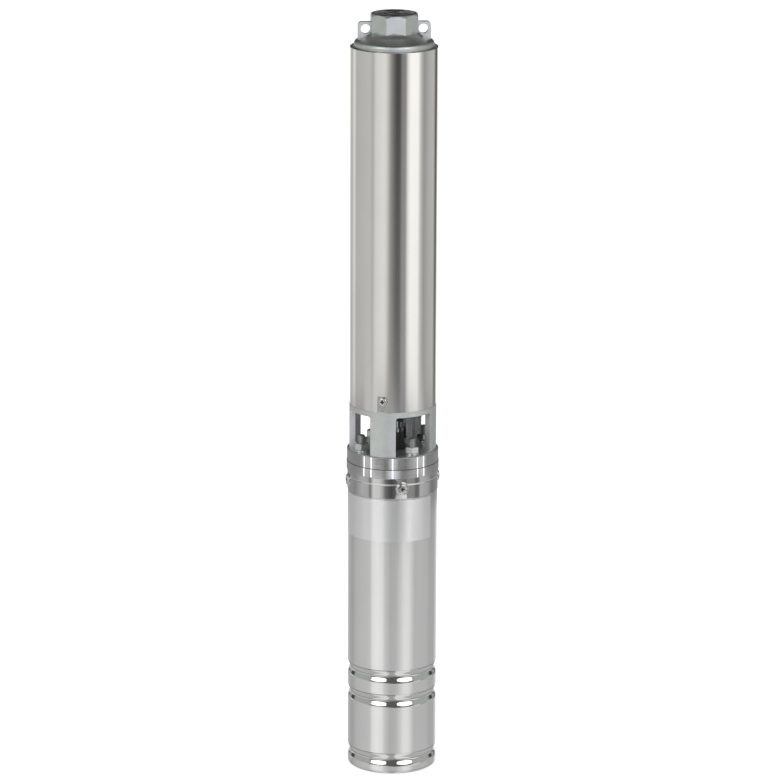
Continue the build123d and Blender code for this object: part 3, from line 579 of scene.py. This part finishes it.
def inside_painted_light_steel():
    """The inside of the lantern, duller than its turned and tumbled outside, less metallic and lilac: a
    painted light, so that the shaded inside catches light.
    """
    n = Finish("inside_painted_light_steel")
    grain = n.noise(1600, detail=3)
    return n.set(
        Base_Color=n.tone(grain, (0.68, 0.66, 0.69), (0.78, 0.76, 0.8)), Metallic=0.55,
        Roughness=n.between(grain, 0.48, 0.56), Normal=n.bump(grain, 0.00002),
    )


def coupling_painted_shade_steel():
    """Polished steel, darkened: a painted shade on the coupling inside the lantern."""
    n = Finish("coupling_painted_shade_steel")
    rings = n.noise(2500, detail=2, stretch=(0.1, 0.1, 1))
    return n.set(Base_Color=(0.26, 0.26, 0.27), Metallic=1.0, Roughness=n.between(rings, 0.08, 0.14))


def dull_painted_shade_steel():
    """Duller, darker steel: a painted shade on the jacket's flat, on the shell's mouth and on the outlet's
    edge.
    """
    n = Finish("dull_painted_shade_steel")
    marks = n.noise(500, detail=3)
    return n.set(
        Base_Color=(0.5, 0.5, 0.48), Metallic=1.0, Roughness=n.between(marks, 0.2, 0.32),
        Normal=n.bump(marks, 0.00001),
    )


finishes = {
    "shell_steel": tube_steel(),
    "cast_steel": cast_steel(),
    "turned_steel": turned_steel(),
    "collar_steel": collar_steel(),
    "shaft_steel": ground_steel(),
    "fastener_steel": fastener_steel(),
    "spring_steel": ground_steel(),
    "guard_steel": guard_steel(),
    "plate_foil": plate_foil(),
    "black_rubber": black_rubber(),
    "carbon": carbon(),
    "stage_plastic": stage_plastic(),
    "laminations": laminations(),
    "winding_copper": winding_copper(),
    "cage_metal": cage_metal(),
    "bore_painted_shade_steel": bore_painted_shade_steel(),
    "recess_painted_shade_steel": recess_painted_shade_steel(),
    "dull_painted_shade_steel": dull_painted_shade_steel(),
    "stud_steel": stud_steel(),
    "dome_painted_shade_steel": dome_painted_shade_steel(),
    "inside_painted_light_steel": inside_painted_light_steel(),
    "coupling_painted_shade_steel": coupling_painted_shade_steel(),
}
slots = {entry["node"]: entry["material_slot"] for entry in frame["record"]["subparts"]}


def dress_nodes():
    """Every CAD node gets its slot's finish, and normals that are smooth except across real edges."""
    for name, node in nodes.items():
        node.data.materials.clear()
        node.data.materials.append(finishes[slots[name]])
        node.data.shade_smooth()
        node.data.set_sharp_from_angle(angle=radians(CAD_SMOOTH_ANGLE))


def refinish(name, finish, radii=ANY, heights=ANY, slopes=ANY, only=None):
    """Another finish on the faces of a node that lie in the ranges and pass the test, if one is given."""
    mesh = nodes[name].data
    mesh.materials.append(finishes[finish])
    for face in mesh.polygons:
        across = sqrt(face.center.x**2 + face.center.y**2) / MM
        measures = ((across, radii), (face.center.z / MM, heights), (face.normal.z, slopes))
        chosen = all(low < value < high for value, (low, high) in measures)
        if chosen and (only is None or only(face)):
            face.material_index = len(mesh.materials) - 1


def on_flat(face):
    """Whether a face looks straight out over the front post, as the jacket's pressed flat does."""
    turn = radians(POST_TURN)
    return face.normal.x * sin(turn) - face.normal.y * cos(turn) > FLAT_MATCH


def looks_in(face):
    """Whether a face looks to the axis."""
    return face.normal.x * face.center.x + face.normal.y * face.center.y < 0


def crease(name):
    """Sharp edges where a node's finish changes."""
    mesh = nodes[name].data
    edges = bmesh.new()
    edges.from_mesh(mesh)
    for edge in edges.edges:
        if len({face.material_index for face in edge.link_faces}) > 1:
            edge.smooth = False
    edges.to_mesh(mesh)
    edges.free()


# Mesh building, in millimetres. A part is drawn along +Z and then moved to its places


def piece(name, body, slot, parts, *replaced, finish=None, recesses=()):
    """One object from parts, which are (points, faces). It rides on a body and stands for its CAD nodes.

    It has its slot's finish unless another is named. Its recesses are parts with a painted shade on them.
    """
    points = []
    faces = []
    for some_points, some_faces in [*parts, *recesses]:
        start = len(points)
        points += [(x * MM, y * MM, z * MM) for x, y, z in some_points]
        faces += [[start + index for index in face] for face in some_faces]
    mesh = bpy.data.meshes.new(name)
    mesh.from_pydata(points, [], faces)
    outer_faces = sum(len(some_faces) for _, some_faces in parts)
    for face in mesh.polygons[outer_faces:]:
        face.material_index = 1
    joined = bmesh.new()
    joined.from_mesh(mesh)
    bmesh.ops.remove_doubles(joined, verts=joined.verts, dist=MERGE_DISTANCE * MM)
    bmesh.ops.recalc_face_normals(joined, faces=joined.faces)
    joined.to_mesh(mesh)
    joined.free()
    mesh.shade_smooth()
    mesh.set_sharp_from_angle(angle=radians(PIECE_SMOOTH_ANGLE))
    mesh.materials.append(finishes[finish or slot])
    # The recesses get a dark finish: a painted shade.
    if recesses:
        mesh.materials.append(finishes["recess_painted_shade_steel"])
    shown = bpy.data.objects.new(name, mesh)
    bpy.context.scene.collection.objects.link(shown)
    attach(shown, body)
    if replaced:
        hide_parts(*replaced)
    return shown


def even(count):
    """Angles in degrees that share the circle."""
    return [360 * k / count for k in range(count)]


def lathe(outline, angles, closed=True):
    """An outline of (radius, height) turned about Z. It may be a function of the angle in degrees."""
    points = []
    faces = []
    for angle in angles:
        row = outline(angle) if callable(outline) else outline
        turn = radians(angle)
        points += [(r * cos(turn), r * sin(turn), z) for r, z in row]
    count = len(points) // len(angles)
    for step in range(len(angles)):
        here = step * count
        there = (step + 1) % len(angles) * count
        for k in range(count if closed else count - 1):
            above = (k + 1) % count
            faces.append([here + k, there + k, there + above, here + above])
    return points, faces


def copies(part, places):
    """A part at each of some places."""
    points, faces = part
    return [([tuple(place @ Vector(point)) for point in points], faces) for place in places]


def arc(centre, radius, start, end, steps):
    """Points of an arc in an outline, from one angle to another in degrees."""
    turns = [radians(start + (end - start) * k / steps) for k in range(steps + 1)]
    return [(centre[0] + radius * cos(t), centre[1] + radius * sin(t)) for t in turns]


def turned(turn):
    """A turn about +Z, in degrees."""
    return Matrix.Rotation(radians(turn), 4, "Z")


def pointing_out(distance, height, turn):
    """The place of a piece drawn along +Z that points out from the axis."""
    out = Matrix.Translation((0, -distance, height)) @ Matrix.Rotation(radians(90), 4, "X")
    return turned(turn) @ out


def thread_share(height, pitch, angle):
    """How far up its ridge a right-hand thread is, from 0 at the root to 1 at the crest."""
    phase = (height / pitch - angle / 360) % 1
    return min(1.0, max(0.0, RIDGE_SLOPE * (1 - abs(2 * phase - 1)) - RIDGE_ROOT))


# Fasteners


def cross_reach(angle, reach=CROSS_REACH, half_width=CROSS_HALF_WIDTH):
    """The distance from the middle of a cross recess to its wall."""
    side = radians(abs((angle + 45) % 90 - 45))
    corner = CROSS_CORNER * reach / 2
    if reach * tan(side) <= half_width:
        return reach / cos(side)
    share = (reach * tan(side) - half_width) / (corner - half_width + tan(side) * (reach - corner))
    return (reach + share * (corner - reach)) / cos(side)


def cross_angles():
    """Even angles with those of the corners of a cross recess."""
    corner = degrees(atan(CROSS_HALF_WIDTH / CROSS_REACH))
    corners = [(90 * k + side * corner) % 360 for k in range(4) for side in (-1, 1)]
    return sorted(even(SCREW_SIDES) + corners)


def crossed_screw(outside, top):
    """A screw from its outside outline, and the cross recess in its top as a part of its own."""

    def head(angle):
        mouth = cross_reach(angle)
        return outside + [(mouth + CROSS_LIP, top), (mouth, top - CROSS_CHAMFER)]

    def recess(angle):
        mouth = cross_reach(angle)
        floor = cross_reach(angle, CROSS_FLOOR_REACH * CROSS_REACH, CROSS_FLOOR_WIDTH * CROSS_HALF_WIDTH)
        return [(mouth, top - CROSS_CHAMFER), (floor, top - CROSS_FLOOR_DEPTH * CROSS_DEPTH),
                (0, top - CROSS_DEPTH)]

    angles = cross_angles()
    return lathe(head, angles, closed=False), lathe(recess, angles, closed=False)


def make_jacket_screws():
    """Pan head screws: one on the jacket's flat, four on the cable guard's feet."""
    outside = [(0, PAN_SHANK_END), (SCREW_SHANK, PAN_SHANK_END), (SCREW_SHANK, 0), (PAN_FOOT_RADIUS, 0),
               (PAN_RADIUS, PAN_FOOT), (PAN_RADIUS, PAN_RIM)]
    for angle in CROWN_ANGLES:
        across = PAN_RADIUS - PAN_CROWN + PAN_CROWN * cos(radians(angle))
        height = PAN_RIM + (PAN_HEAD_HEIGHT - PAN_RIM) * sin(radians(angle))
        outside.append((across, height))
    screw, recess = crossed_screw(outside, PAN_HEAD_HEIGHT)
    places = [pointing_out(FLAT_DISTANCE, JACKET_SCREW_HEIGHT, POST_TURN)]
    for height in (JACKET_SCREW_HEIGHT, GUARD_SCREW_HEIGHT):
        for side in (-GUARD_SCREW_TURN, GUARD_SCREW_TURN):
            places.append(pointing_out(GUARD_FACE, height, GUARD_TURN + side))
    piece("jacket_screws_dressed", "pump_body", "fastener_steel", copies(screw, places), "jacket_screws",
          recesses=copies(recess, places))


def make_shell_screws():
    """Countersunk screws in dished washers that fit the collar's round."""
    outside = [(0, COUNTERSUNK_SHANK_END), (SCREW_SHANK, COUNTERSUNK_SHANK_END), (SCREW_SHANK, 0)]
    screw, recess = crossed_screw(outside + COUNTERSUNK_EDGE, WASHER_HEIGHT)

    def washer(angle):
        def seat(radius):
            across = radius * cos(radians(angle))
            return sqrt(COLLAR_RADIUS**2 - across**2) - COLLAR_RADIUS

        foot = [(WASHER_BORE, seat(WASHER_BORE)), (WASHER_FOOT, seat(WASHER_FOOT)),
                (WASHER_RADIUS, seat(WASHER_RADIUS) + WASHER_EDGE)]
        return foot + WASHER_DISH + WASHER_LIP

    places = [pointing_out(COLLAR_RADIUS, SHELL_SCREW_HEIGHT, turn) for turn in SHELL_SCREW_TURNS]
    piece("shell_screws_dressed", "pump_body", "fastener_steel", copies(screw, places), "shell_screws",
          recesses=copies(recess, places))
    piece("screw_washers_dressed", "pump_body", "fastener_steel",
          copies(lathe(washer, even(SCREW_SIDES)), places), "screw_washers")


def make_studs():
    """Studs with their threads, hexagon nuts with chamfered corners, and washers with a rolled edge."""

    def stud(angle):
        start = LANTERN_FLOOR + STUD_THREAD_START
        rows = [(0, STUD_FOOT), (STUD_RADIUS, STUD_FOOT), (STUD_RADIUS, LANTERN_FLOOR + STUD_PLAIN_TOP)]
        for k in range(STUD_ROWS + 1):
            height = start + (STUD_TOP - start) * k / STUD_ROWS
            thread = STUD_RADIUS - STUD_THREAD_DEPTH * (1 - thread_share(height, STUD_PITCH, angle))
            chamfer = STUD_RADIUS - STUD_CHAMFER + (STUD_TOP - height)
            rows.append((min(thread, chamfer), height))
        return rows + [(0, STUD_TOP)]

    def nut(angle):
        corner = NUT_FLATS / 2 / cos(radians(abs(angle % 60 - 30)))
        face = NUT_FLATS / 2 * NUT_FACE_SHARE
        drop = (corner - face) * tan(radians(NUT_CHAMFER_ANGLE))
        top = NUT_BOTTOM + NUT_HEIGHT
        return [(NUT_BORE, NUT_BOTTOM), (face, NUT_BOTTOM), (corner, NUT_BOTTOM + drop),
                (corner, top - drop), (face, top), (NUT_BORE + NUT_MOUTH, top), (NUT_BORE, top - NUT_MOUTH)]

    low = (FLAT_WASHER_ROUND_PLACE, LANTERN_FLOOR + FLAT_WASHER_ROUND)
    high = (FLAT_WASHER_ROUND_PLACE, NUT_BOTTOM - FLAT_WASHER_ROUND)
    washer = [(FLAT_WASHER_BORE, LANTERN_FLOOR), (FLAT_WASHER_RADIUS, LANTERN_FLOOR),
              *arc(low, FLAT_WASHER_ROUND, -60, 20, 4), *arc(high, FLAT_WASHER_ROUND, -20, 80, 4),
              (FLAT_WASHER_BORE, NUT_BOTTOM)]
    places = [turned(turn) @ Matrix.Translation((0, -STUD_CIRCLE, 0)) for turn in STUD_TURNS]
    nut_places = [place @ turned(turn) for place, turn in zip(places, NUT_TURNS)]
    piece("motor_studs_dressed", "pump_body", "fastener_steel",
          copies(lathe(stud, even(STUD_SIDES), closed=False), places), "motor_studs", finish="stud_steel")
    piece("stud_nuts_dressed", "pump_body", "fastener_steel",
          copies(lathe(nut, even(SCREW_SIDES)), nut_places), "stud_nuts")
    piece("stud_washers_dressed", "pump_body", "fastener_steel",
          copies(lathe(washer, even(FLAT_WASHER_SIDES)), places), "stud_washers")


# The outlet's thread, the slinger and the spring


def make_outlet_thread():
    """The pipe thread in the outlet, which runs out at both ends."""
    low = OUTLET_FLOOR + PIPE_FOOT_GAP
    high = OUTLET_TOP - PIPE_TOP_GAP

    def outline(angle):
        rows = [(OUTLET_RADIUS - PIPE_SKIN, high), (OUTLET_RADIUS - PIPE_SKIN, low)]
        for k in range(PIPE_ROWS + 1):
            height = low + (high - low) * k / PIPE_ROWS
            room = min(1.0, (high - height) / OUTLET_RIDGE, (height - low) / OUTLET_RIDGE)
            ridge = OUTLET_RIDGE * min(thread_share(height, OUTLET_PITCH, angle), room)
            rows.append((OUTLET_RADIUS - PIPE_ROOT - ridge, height))
        return rows

    # The thread has the bore's dark finish: a painted shade.
    piece("outlet_thread", "pump_body", "cast_steel", [lathe(outline, even(ROUND_SIDES))],
          finish="bore_painted_shade_steel")


def make_slinger():
    """The rubber skirt under the coupling: a smooth neck that flares into a ribbed foot."""
    low, high = SLINGER_HEIGHTS
    lap = COUPLING_RADIUS + SLINGER_CLEARANCE
    bore = SHAFT_RADIUS + SLINGER_CLEARANCE
    inner = [(lap, high), (lap, COUPLING_FOOT), (bore, COUPLING_FOOT), (bore, COUPLING_FOOT - SLINGER_GRIP),
             (SLINGER_FOOT - SLINGER_LIP, low)]

    def outline(angle):
        rows = []
        groove = 0.5 - 0.5 * cos(radians(angle * SLINGER_RIBS))
        for k in range(SLINGER_ROWS + 1):
            share = k / SLINGER_ROWS
            flare = SLINGER_NECK + (SLINGER_FOOT - SLINGER_NECK) * (1 - share) ** SLINGER_FLARE
            depth = RIB_DEPTH * min(1.0, RIB_FADE_UP * (1 - share)) * min(1.0, RIB_FADE_DOWN * share)
            rows.append((flare - depth * groove, low + (high - low) * share))
        return rows + inner

    piece("sand_slinger_dressed", "rotor", "black_rubber", [lathe(outline, even(ROUND_SIDES))],
          "sand_slinger")


def make_valve_spring():
    """The valve's spring of round wire, on a mesh of its own."""
    half = SPRING_WIRE / 2
    low = SPRING_FOOT + SPRING_WIRE
    high = SPRING_TOP - SPRING_WIRE
    steps = SPRING_STEPS * SPRING_TURNS
    points = []
    for step in range(steps + 1):
        turn = 2 * pi * SPRING_TURNS * step / steps
        height = low + (high - low) * step / steps
        for angle in even(WIRE_SIDES):
            across = SPRING_RADIUS + half * cos(radians(angle))
            points.append((across * cos(turn), across * sin(turn), height + half * sin(radians(angle))))
    faces = [list(range(WIRE_SIDES)), [steps * WIRE_SIDES + k for k in range(WIRE_SIDES)]]
    for step in range(steps):
        for k in range(WIRE_SIDES):
            here = step * WIRE_SIDES + k
            beside = step * WIRE_SIDES + (k + 1) % WIRE_SIDES
            faces.append([here, beside, beside + WIRE_SIDES, here + WIRE_SIDES])
    spring = piece("valve_spring_dressed", "pump_body", "spring_steel", [(points, faces)], "valve_spring")
    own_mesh(spring)


# The studio


def floor_material():
    """A pale floor that glows a little where the camera sees it."""
    n = Finish("floor")
    rays = n.add("ShaderNodeLightPath")
    seen = n.math("MAXIMUM", rays.outputs["Is Camera Ray"], rays.outputs["Is Transmission Ray"])
    return n.set(
        Base_Color=(0.8, 0.8, 0.8), Roughness=0.9, Emission_Color=(1.0, 1.0, 1.0),
        Emission_Strength=n.math("MULTIPLY", seen, FLOOR_GLOW),
    )


def make_floor():
    """The floor, which the steel doesn't reflect."""
    corners = [(x * FLOOR_REACH, y * FLOOR_REACH, 0) for x, y in ((-1, -1), (1, -1), (1, 1), (-1, 1))]
    mesh = bpy.data.meshes.new("floor")
    mesh.from_pydata(corners, [], [[0, 1, 2, 3]])
    mesh.materials.append(floor_material())
    floor = bpy.data.objects.new("floor", mesh)
    floor.location.z = -FLOOR_DROP
    floor.visible_glossy = False
    bpy.context.scene.collection.objects.link(floor)


class Studio(Tree):
    """The world's node tree, with the direction of each ray in degrees."""

    def __init__(self):
        world = bpy.data.worlds.new("studio")
        bpy.context.scene.world = world
        super().__init__(world)
        self.tree.nodes.clear()
        way = self.add("ShaderNodeSeparateXYZ")
        self.feed(self.add("ShaderNodeTexCoord").outputs["Generated"], way.inputs["Vector"])
        turn = self.math("ARCTAN2", way.outputs["X"], self.math("MULTIPLY", way.outputs["Y"], -1.0))
        right = self.math("SUBTRACT", self.math("MULTIPLY", turn, 180 / pi), CAMERA_TURN)
        self.right = self.math("WRAP", right, 180.0, -180.0)
        self.share = self.math("MULTIPLY_ADD", self.right, 1 / 360, 0.5)
        self.elevation = self.math("MULTIPLY", self.math("ARCSINE", way.outputs["Z"]), 180 / pi)

    def over(self, below, edge, above):
        """One level below an edge and another above it."""
        return self.mixed(self.ranged(self.elevation, edge, kind="SMOOTHSTEP"), below, above)

    def row(self, levels, tint=PLAIN):
        """A row of levels round the room."""
        node = self.add("ShaderNodeValToRGB")
        stops = node.color_ramp.elements
        while len(stops) > 1:
            stops.remove(stops[-1])
        for k, (angle, level) in enumerate(levels):
            place = angle / 360 + 0.5
            stop = stops[0] if k == 0 else stops.new(place)
            stop.position = place
            stop.color = (*(level * share for share in tint), 1)
        self.feed(self.share, node.inputs["Fac"])
        return node.outputs["Color"]

    def softboxes(self):
        """Two round soft lamps, one at each side: 1 inside them and 0 outside."""
        across = self.math("SUBTRACT", self.math("ABSOLUTE", self.right), SOFTBOX_ANGLE)
        across = self.math("MULTIPLY", across, 1 / SOFTBOX_WIDTH)
        up = self.math("SUBTRACT", self.elevation, SOFTBOX_ELEVATION)
        up = self.math("MULTIPLY", up, 1 / SOFTBOX_HEIGHT)
        reach = self.math("ADD", self.math("MULTIPLY", across, across), self.math("MULTIPLY", up, up))
        return self.ranged(reach, SOFTBOX_EDGE, kind="SMOOTHSTEP")


def make_world():
    """The room that glossy rays meet, an even light for the other rays, and white for the camera."""
    studio = Studio()
    bench = studio.row(BENCH)
    level = studio.over(studio.row(GROUND), GROUND_EDGE, studio.row(UNDER_BENCH))
    level = studio.over(level, BENCH_FOOT, bench)
    level = studio.over(level, BENCH_TOP, studio.row(SKIRTING))
    level = studio.over(level, SKIRTING_TOP, studio.row(GLOW))
    faded = studio.ranged(studio.elevation, WALL_FADE, (WALL_FADE_START, 1), kind="SMOOTHSTEP")
    level = studio.over(level, GLOW_TOP, studio.mixed(faded, bench, studio.row(WALLS, WARM)))
    level = studio.over(level, WALL_TOP, studio.row(ROOM, COOL))
    level = studio.mixed(studio.softboxes(), level, SOFTBOX_LEVEL)
    level = studio.over(level, ROOM_TOP, CEILING)
    rays = studio.add("ShaderNodeLightPath")
    level = studio.mixed(rays.outputs["Is Glossy Ray"], ROOM_LIGHT, level)
    level = studio.mixed(rays.outputs["Is Camera Ray"], level, 1.0)
    background = studio.add("ShaderNodeBackground")
    studio.feed(level, background.inputs["Color"])
    output = studio.add("ShaderNodeOutputWorld")
    studio.feed(background.outputs["Background"], output.inputs["Surface"])


def area_lamp(name, place, width, height, energy, colour=PLAIN, aim=None):
    """A lamp that looks at the axis at its own height, unless it has another aim."""
    lamp = bpy.data.lights.new(name, "AREA")
    lamp.shape = "RECTANGLE"
    lamp.size = width
    lamp.size_y = height
    lamp.energy = energy
    lamp.color = colour
    shown = bpy.data.objects.new(name, lamp)
    shown.location = place
    way = Vector(aim or (0, 0, place[2])) - shown.location
    shown.rotation_euler = way.to_track_quat("-Z", "Y").to_euler()
    shown.visible_camera = False
    bpy.context.scene.collection.objects.link(shown)
    return shown


def round_camera(turn, distance, height):
    """A place at a turn to the right of the camera's direction."""
    angle = radians(CAMERA_TURN + turn)
    return (distance * sin(angle), -distance * cos(angle), height)


def lights_only(lamps, names):
    """Only these nodes and pieces receive the lamps."""
    receivers = bpy.data.collections.new("lit_by_" + lamps[0].name)
    for name in names:
        receivers.objects.link(bpy.data.objects[name])
    for lamp in lamps:
        lamp.light_linking.receiver_collection = receivers


def make_lamps():
    """A soft lamp for all, a tall fill for castings, strips for rims and coupling, and a glow for the rims.

    The glow is brightest in its middle, where its lamps of growing widths add up. They stand one behind
    another, since lamps in one plane would hide each other in the steel.
    """
    soft = area_lamp("soft_lamp", SOFT_LAMP_PLACE, SOFT_LAMP_WIDTH, SOFT_LAMP_WIDTH, SOFT_LAMP_ENERGY,
                     aim=SOFT_LAMP_AIM)
    soft.visible_glossy = False
    place = round_camera(FILL_TURN, FILL_DISTANCE, FILL_HEIGHT / 2 + FILL_FOOT)
    fill = area_lamp("front_fill", place, FILL_WIDTH, FILL_HEIGHT, FILL_ENERGY, LILAC)
    lights_only([fill], ["delivery_head", "suction_lantern"])
    strips = []
    for k, turn in enumerate(STRIP_TURNS):
        place = round_camera(turn, STRIP_DISTANCE, STRIP_MIDDLE)
        strips.append(area_lamp(f"strip_{k + 1}", place, STRIP_WIDTH, STRIP_HEIGHT, STRIP_ENERGY))
    lights_only(strips, ["suction_lantern", "motor_bracket", "shaft_coupling"])
    glows = []
    for k, share in enumerate(RIM_GLOW_SHARES):
        place = round_camera(RIM_GLOW_TURN, STRIP_DISTANCE + (k + 1) * RIM_GLOW_GAP, STRIP_MIDDLE)
        glows.append(area_lamp(f"rim_glow_{k + 1}", place, share * RIM_GLOW_WIDTH, STRIP_HEIGHT,
                               share * RIM_GLOW_ENERGY, LILAC))
    lights_only(glows[:RIM_GLOWS_ON_LANTERN], ["suction_lantern", "motor_bracket"])
    lights_only(glows[RIM_GLOWS_ON_LANTERN:], ["motor_bracket"])


def make_camera():
    """The camera, where the photograph was taken from."""
    camera = bpy.data.cameras.new("camera")
    camera.sensor_width = SENSOR_WIDTH
    camera.lens = FOCAL_PIXELS * SENSOR_WIDTH / PHOTO_HEIGHT
    camera.clip_start = 0.1
    camera.clip_end = 100
    shown = bpy.data.objects.new("camera", camera)
    turn = radians(CAMERA_TURN)
    tilt = radians(CAMERA_ELEVATION)
    back = Vector((sin(turn) * cos(tilt), -cos(turn) * cos(tilt), sin(tilt)))
    side = Vector((cos(turn), sin(turn), 0))
    aim = Vector((0, 0, AIM_HEIGHT)) + AIM_SIDE * side
    shown.location = aim + CAMERA_DISTANCE * back
    look = (-back).to_track_quat("-Z", "Y").to_matrix().to_4x4()
    shown.rotation_euler = (look @ turned(CAMERA_ROLL)).to_euler()
    bpy.context.scene.collection.objects.link(shown)
    bpy.context.scene.camera = shown


dress_nodes()
refinish("suction_lantern", "turned_steel", LANTERN_RIM, LANTERN_RIM_HEIGHTS, UPRIGHT)
# Painted light: the lantern's inward faces get a less metallic, lilac copy of the cast steel.
refinish("suction_lantern", "inside_painted_light_steel", heights=LANTERN_INSIDE_HEIGHTS, only=looks_in)
# Painted shade: the bracket's top edge, under the lantern's flange, gets the dark finish.
refinish("motor_bracket", "recess_painted_shade_steel", BRACKET_EDGE, BRACKET_EDGE_HEIGHTS, RAISED)
refinish("motor_shell", "collar_steel", COLLAR, COLLAR_HEIGHTS)
# Painted shade: the shell's mouth under the bracket is darkened.
refinish("motor_shell", "dull_painted_shade_steel", SHELL_MOUTH, SHELL_MOUTH_HEIGHTS)
# Painted shade: the whole inlet holder, seen through the lantern's windows, gets the dark finish.
refinish("inlet_holder", "recess_painted_shade_steel")
# Painted shade: the coupling inside the lantern is darkened.
refinish("shaft_coupling", "coupling_painted_shade_steel")
# Painted shade: the outlet's bore is darkened.
refinish("delivery_head", "bore_painted_shade_steel", OUTLET_BORE, OUTLET_HEIGHTS)
# Painted shade: the outlet's edge round the bore is darkened.
refinish("delivery_head", "dull_painted_shade_steel", OUTLET_EDGE, OUTLET_HEIGHTS)
# Painted shade: the dome is darkened.
refinish("delivery_head", "dome_painted_shade_steel", DOME, DOME_HEIGHTS, DOMED)
# Painted shade: the jacket's flat round its screw is darkened.
refinish("outer_jacket", "dull_painted_shade_steel", JACKET_SKIN, FLAT_HEIGHTS, only=on_flat)
crease("outer_jacket")
make_jacket_screws()
make_shell_screws()
make_studs()
make_outlet_thread()
make_slinger()
make_valve_spring()
make_floor()
make_world()
make_lamps()
make_camera()

bpy.context.scene.view_settings.view_transform = "Standard"
